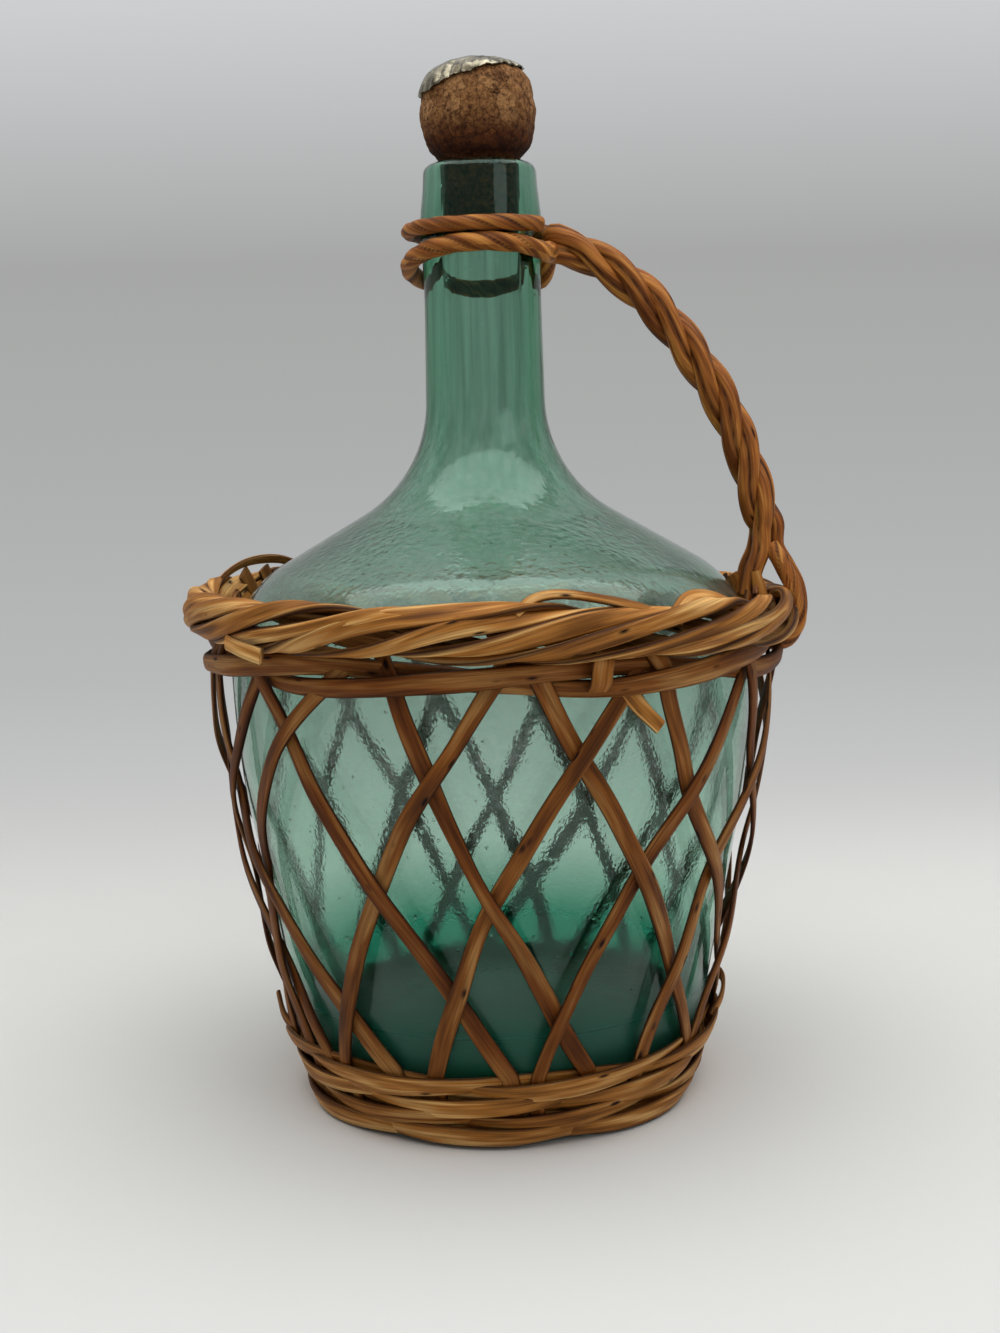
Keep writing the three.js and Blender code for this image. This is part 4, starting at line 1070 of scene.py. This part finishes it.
def makeHandle():
    ropeGirth = handle["ropeGirth"]
    top, back, front = (ropeRun(share / 3) for share in range(3))
    lowerLoop = loopRun(handle["lowerLeave"], -180 - handle["lowerLeave"], handle["lowerLoop"],
                        handle["lowerTilt"])
    upperLoop = loopRun(handle["upperLeave"], fullTurn + handle["upperStub"], handle["upperLoop"], 0)
    longRod = twistedRod("willow_handle_long_rod", [
        (foot(handle["insideFoot"], 1)[::-1], ropeGirth),
        (front[::-1], ropeGirth),
        (lowerLoop, handle["lowerGirth"]),
        (top, ropeGirth),
        (foot(handle["insideFoot"], -1), ropeGirth)], handle["longTone"])
    handOver(longRod, handleWillow, "basket", "brown_willow", "handle_long_rod")
    shortRod = twistedRod("willow_handle_short_rod", [
        (foot(handle["outsideFoot"], 1)[::-1], ropeGirth),
        (back[::-1], ropeGirth),
        (upperLoop, handle["upperGirth"])], handle["shortTone"])
    handOver(shortRod, handleWillow, "basket", "brown_willow", "handle_short_rod")
    print("handle laid")


# at its foot a rod wraps the rim in front, and two flat straps hold it behind the rim
grip = {
    "wrap": ((77.6, -3.2, 150.6), (80.6, -5.6, 145.4), (83.4, -7.4, 138), (84.2, -8.6, 130.5),
             (81, -9.4, 125.4), (76, -9, 124.6)),
    "wrapGirth": 2.3, "wrapTone": 0.7,
    "straps": {"front": ((74, -9.4, 129), (74, -9.4, 136), (72.6, -8.4, 144)),
               "back": ((74.4, 4.5, 129), (71.4, 4.2, 136), (68, 4, 142.4))},
    "strapWidth": 5.8, "strapTip": 0.5, "strapThickness": 1.4, "strapTone": 0.8, "strapFacing": (0, -1, 0.1),
}


def makeGrip():
    wrapRun = [Vector(p) for p in grip["wrap"]]
    wrap = twistedRod("willow_handle_wrap", [(wrapRun, grip["wrapGirth"])], grip["wrapTone"])
    handOver(wrap, handleWillow, "basket", "brown_willow")
    for where, points in grip["straps"].items():
        path = throughPoints([Vector(p) for p in points], splitEnd["spacing"])
        stations = []
        for i, centre in enumerate(path):
            width = grip["strapWidth"] * mix(1, grip["strapTip"], i / (len(path) - 1))
            stations.append((centre, Vector(grip["strapFacing"]), width, grip["strapThickness"]))
        strap = rollStrand(f"willow_handle_strap_{where}", stations, grip["strapTone"])
        handOver(strap, basketWillow, "basket", "willow")
    print("handle's foot wrapped")


makeHandle()
makeGrip()


# floor, backdrop, light and camera, in metres

stage = {
    "floorReach": 1.6, "sweepStart": 0.13, "sweepRound": 0.09, "wallTop": 0.9, "wallHalf": 1.4,
    "lift": 0.0003, "sweepSteps": 30, "wallSteps": 10, "paint": "#d9d9d7", "footFade": 0.05, "paintedLightTop": 0.45,
    "paintedLightGreys": ((0, "#d2d3d2"), (1, "#d6d7d8"), (0.05, "#cbcccb"), (0.19, "#b8b9b9"), (0.38, "#adafae"),
              (0.56, "#a6a7a6"), (0.78, "#ccced0")),
}


def studioSurface(name, isWall):
    # matt painted board: on the wall a painted light and shade runs from light at the foot to darker at half
    # height and up again
    material, tree = newMaterial(name)
    paint = addNode(tree, "ShaderNodeBsdfDiffuse", {}, {"Color": hexLinear(stage["paint"])})
    result = paint
    if isWall:
        spot = addNode(tree, "ShaderNodeTexCoord").outputs["Object"]
        height = addNode(tree, "ShaderNodeSeparateXYZ", links={0: spot}).outputs["Z"]
        share = addNode(tree, "ShaderNodeMapRange", {}, {"From Min": 0, "From Max": stage["paintedLightTop"]},
                        {"Value": height})
        shade = addNode(tree, "ShaderNodeValToRGB", links={"Fac": share.outputs[0]},
                        stops=[(place, hexLinear(code)) for place, code in stage["paintedLightGreys"]])
        glow = addNode(tree, "ShaderNodeEmission", {}, {"Strength": 1}, {"Color": shade.outputs[0]})
        # the wall glows with its painted light and shade to the camera and in the glass, and takes light like
        # paint otherwise
        path = addNode(tree, "ShaderNodeLightPath")
        seen = addNode(tree, "ShaderNodeMath", {"operation": "ADD"}, {},
                       {0: path.outputs["Is Camera Ray"], 1: path.outputs["Is Glossy Ray"]})
        seen = addNode(tree, "ShaderNodeMath", {"operation": "ADD", "use_clamp": True}, {},
                       {0: seen.outputs[0], 1: path.outputs["Is Transmission Ray"]})
        rise = addNode(tree, "ShaderNodeMapRange", {"interpolation_type": "SMOOTHSTEP"},
                       {"From Min": 0, "From Max": stage["footFade"]}, {"Value": height})
        seen = addNode(tree, "ShaderNodeMath", product, {}, {0: seen.outputs[0], 1: rise.outputs[0]})
        lit = addNode(tree, "ShaderNodeMixShader", {}, {},
                      {0: seen.outputs[0], 1: paint.outputs[0], 2: glow.outputs[0]})
        # from behind the wall can be looked through
        behind = addNode(tree, "ShaderNodeNewGeometry").outputs["Backfacing"]
        clear = addNode(tree, "ShaderNodeBsdfTransparent")
        result = addNode(tree, "ShaderNodeMixShader", {}, {},
                         {0: behind, 1: lit.outputs[0], 2: clear.outputs[0]})
    addNode(tree, "ShaderNodeOutputMaterial", links={"Surface": result.outputs[0]})
    return material


def makeStage():
    bpy.ops.object.select_all(action="DESELECT")
    bpy.ops.mesh.primitive_plane_add(size=2 * stage["floorReach"], location=(0, 0, 0))
    ground = bpy.context.object
    ground.name = "studio_floor"
    ground.data.materials.append(studioSurface("matt_white_board", False))
    bpy.ops.object.select_all(action="DESELECT")
    steps = stage["sweepSteps"] + stage["wallSteps"]
    bpy.ops.mesh.primitive_grid_add(x_subdivisions=1, y_subdivisions=steps, size=1)
    sweep = bpy.context.object
    sweep.name = "studio_sweep"
    for vertex in sweep.data.vertices:
        step = (vertex.co.y + 0.5) * steps
        if step <= stage["sweepSteps"]:
            angle = math.radians(90 * step / stage["sweepSteps"])
            y = stage["sweepStart"] + stage["sweepRound"] * math.sin(angle)
            z = stage["sweepRound"] * (1 - math.cos(angle))
        else:
            y = stage["sweepStart"] + stage["sweepRound"]
            z = mix(stage["sweepRound"], stage["wallTop"], (step - stage["sweepSteps"]) / stage["wallSteps"])
        vertex.co = (vertex.co.x * 2 * stage["wallHalf"], y, z + stage["lift"])
    bpy.ops.object.shade_smooth()
    sweep.data.materials.append(studioSurface("sweep_with_painted_light", True))


light = {
    # place, turn in degrees, size and power of each soft lamp
    "lamps": {"soft_top": ((0.03, -0.05, 0.8), (0, 0, 0), 1.2, 9.4),
              "soft_front_right": ((0.65, -0.75, 0.6), (62, 0, 41), 0.5, 0.9)},
    "room": 0.27, "backdrop": "#d2d3d3",
}


def makeLight():
    for name, (place, turn, size, power) in light["lamps"].items():
        bpy.ops.object.light_add(type="AREA", location=place, rotation=[math.radians(a) for a in turn])
        lamp = bpy.context.object
        lamp.name = name
        lamp.data.shape = "DISK"
        lamp.data.size = size
        lamp.data.energy = power
    world = bpy.data.worlds.new("pale_room")
    bpy.context.scene.world = world
    world.use_nodes = True
    tree = world.node_tree
    tree.nodes.clear()
    path = addNode(tree, "ShaderNodeLightPath")
    room = addNode(tree, "ShaderNodeBackground", {}, {"Color": grey(1), "Strength": light["room"]})
    seen = addNode(tree, "ShaderNodeBackground", {}, {"Color": hexLinear(light["backdrop"]), "Strength": 1})
    both = addNode(tree, "ShaderNodeMixShader", {}, {},
                   {0: path.outputs["Is Camera Ray"], 1: room.outputs[0], 2: seen.outputs[0]})
    addNode(tree, "ShaderNodeOutputWorld", links={"Surface": both.outputs[0]})


# focal length and height of the picture in pixels, place in millimetres, turns in radians
view = {"focal": 1700, "tall": 1333, "sensor": 36, "place": (-0.2, -472.3, 183.9), "pitch": 0.1379,
        "roll": -0.0258, "yaw": 0.0049}


def makeCamera():
    bpy.ops.object.camera_add(location=Vector(view["place"]) * mm,
                              rotation=(math.pi / 2 - view["pitch"], 0, -view["yaw"]))
    camera = bpy.context.object
    camera.rotation_euler.rotate_axis("Z", view["roll"])
    camera.data.sensor_fit = "AUTO"
    camera.data.sensor_width = view["sensor"]
    camera.data.lens = view["focal"] / view["tall"] * view["sensor"]
    bpy.context.scene.camera = camera


makeStage()
makeLight()
makeCamera()
bpy.context.scene.view_settings.view_transform = "Standard"
print("stage, light and camera set")
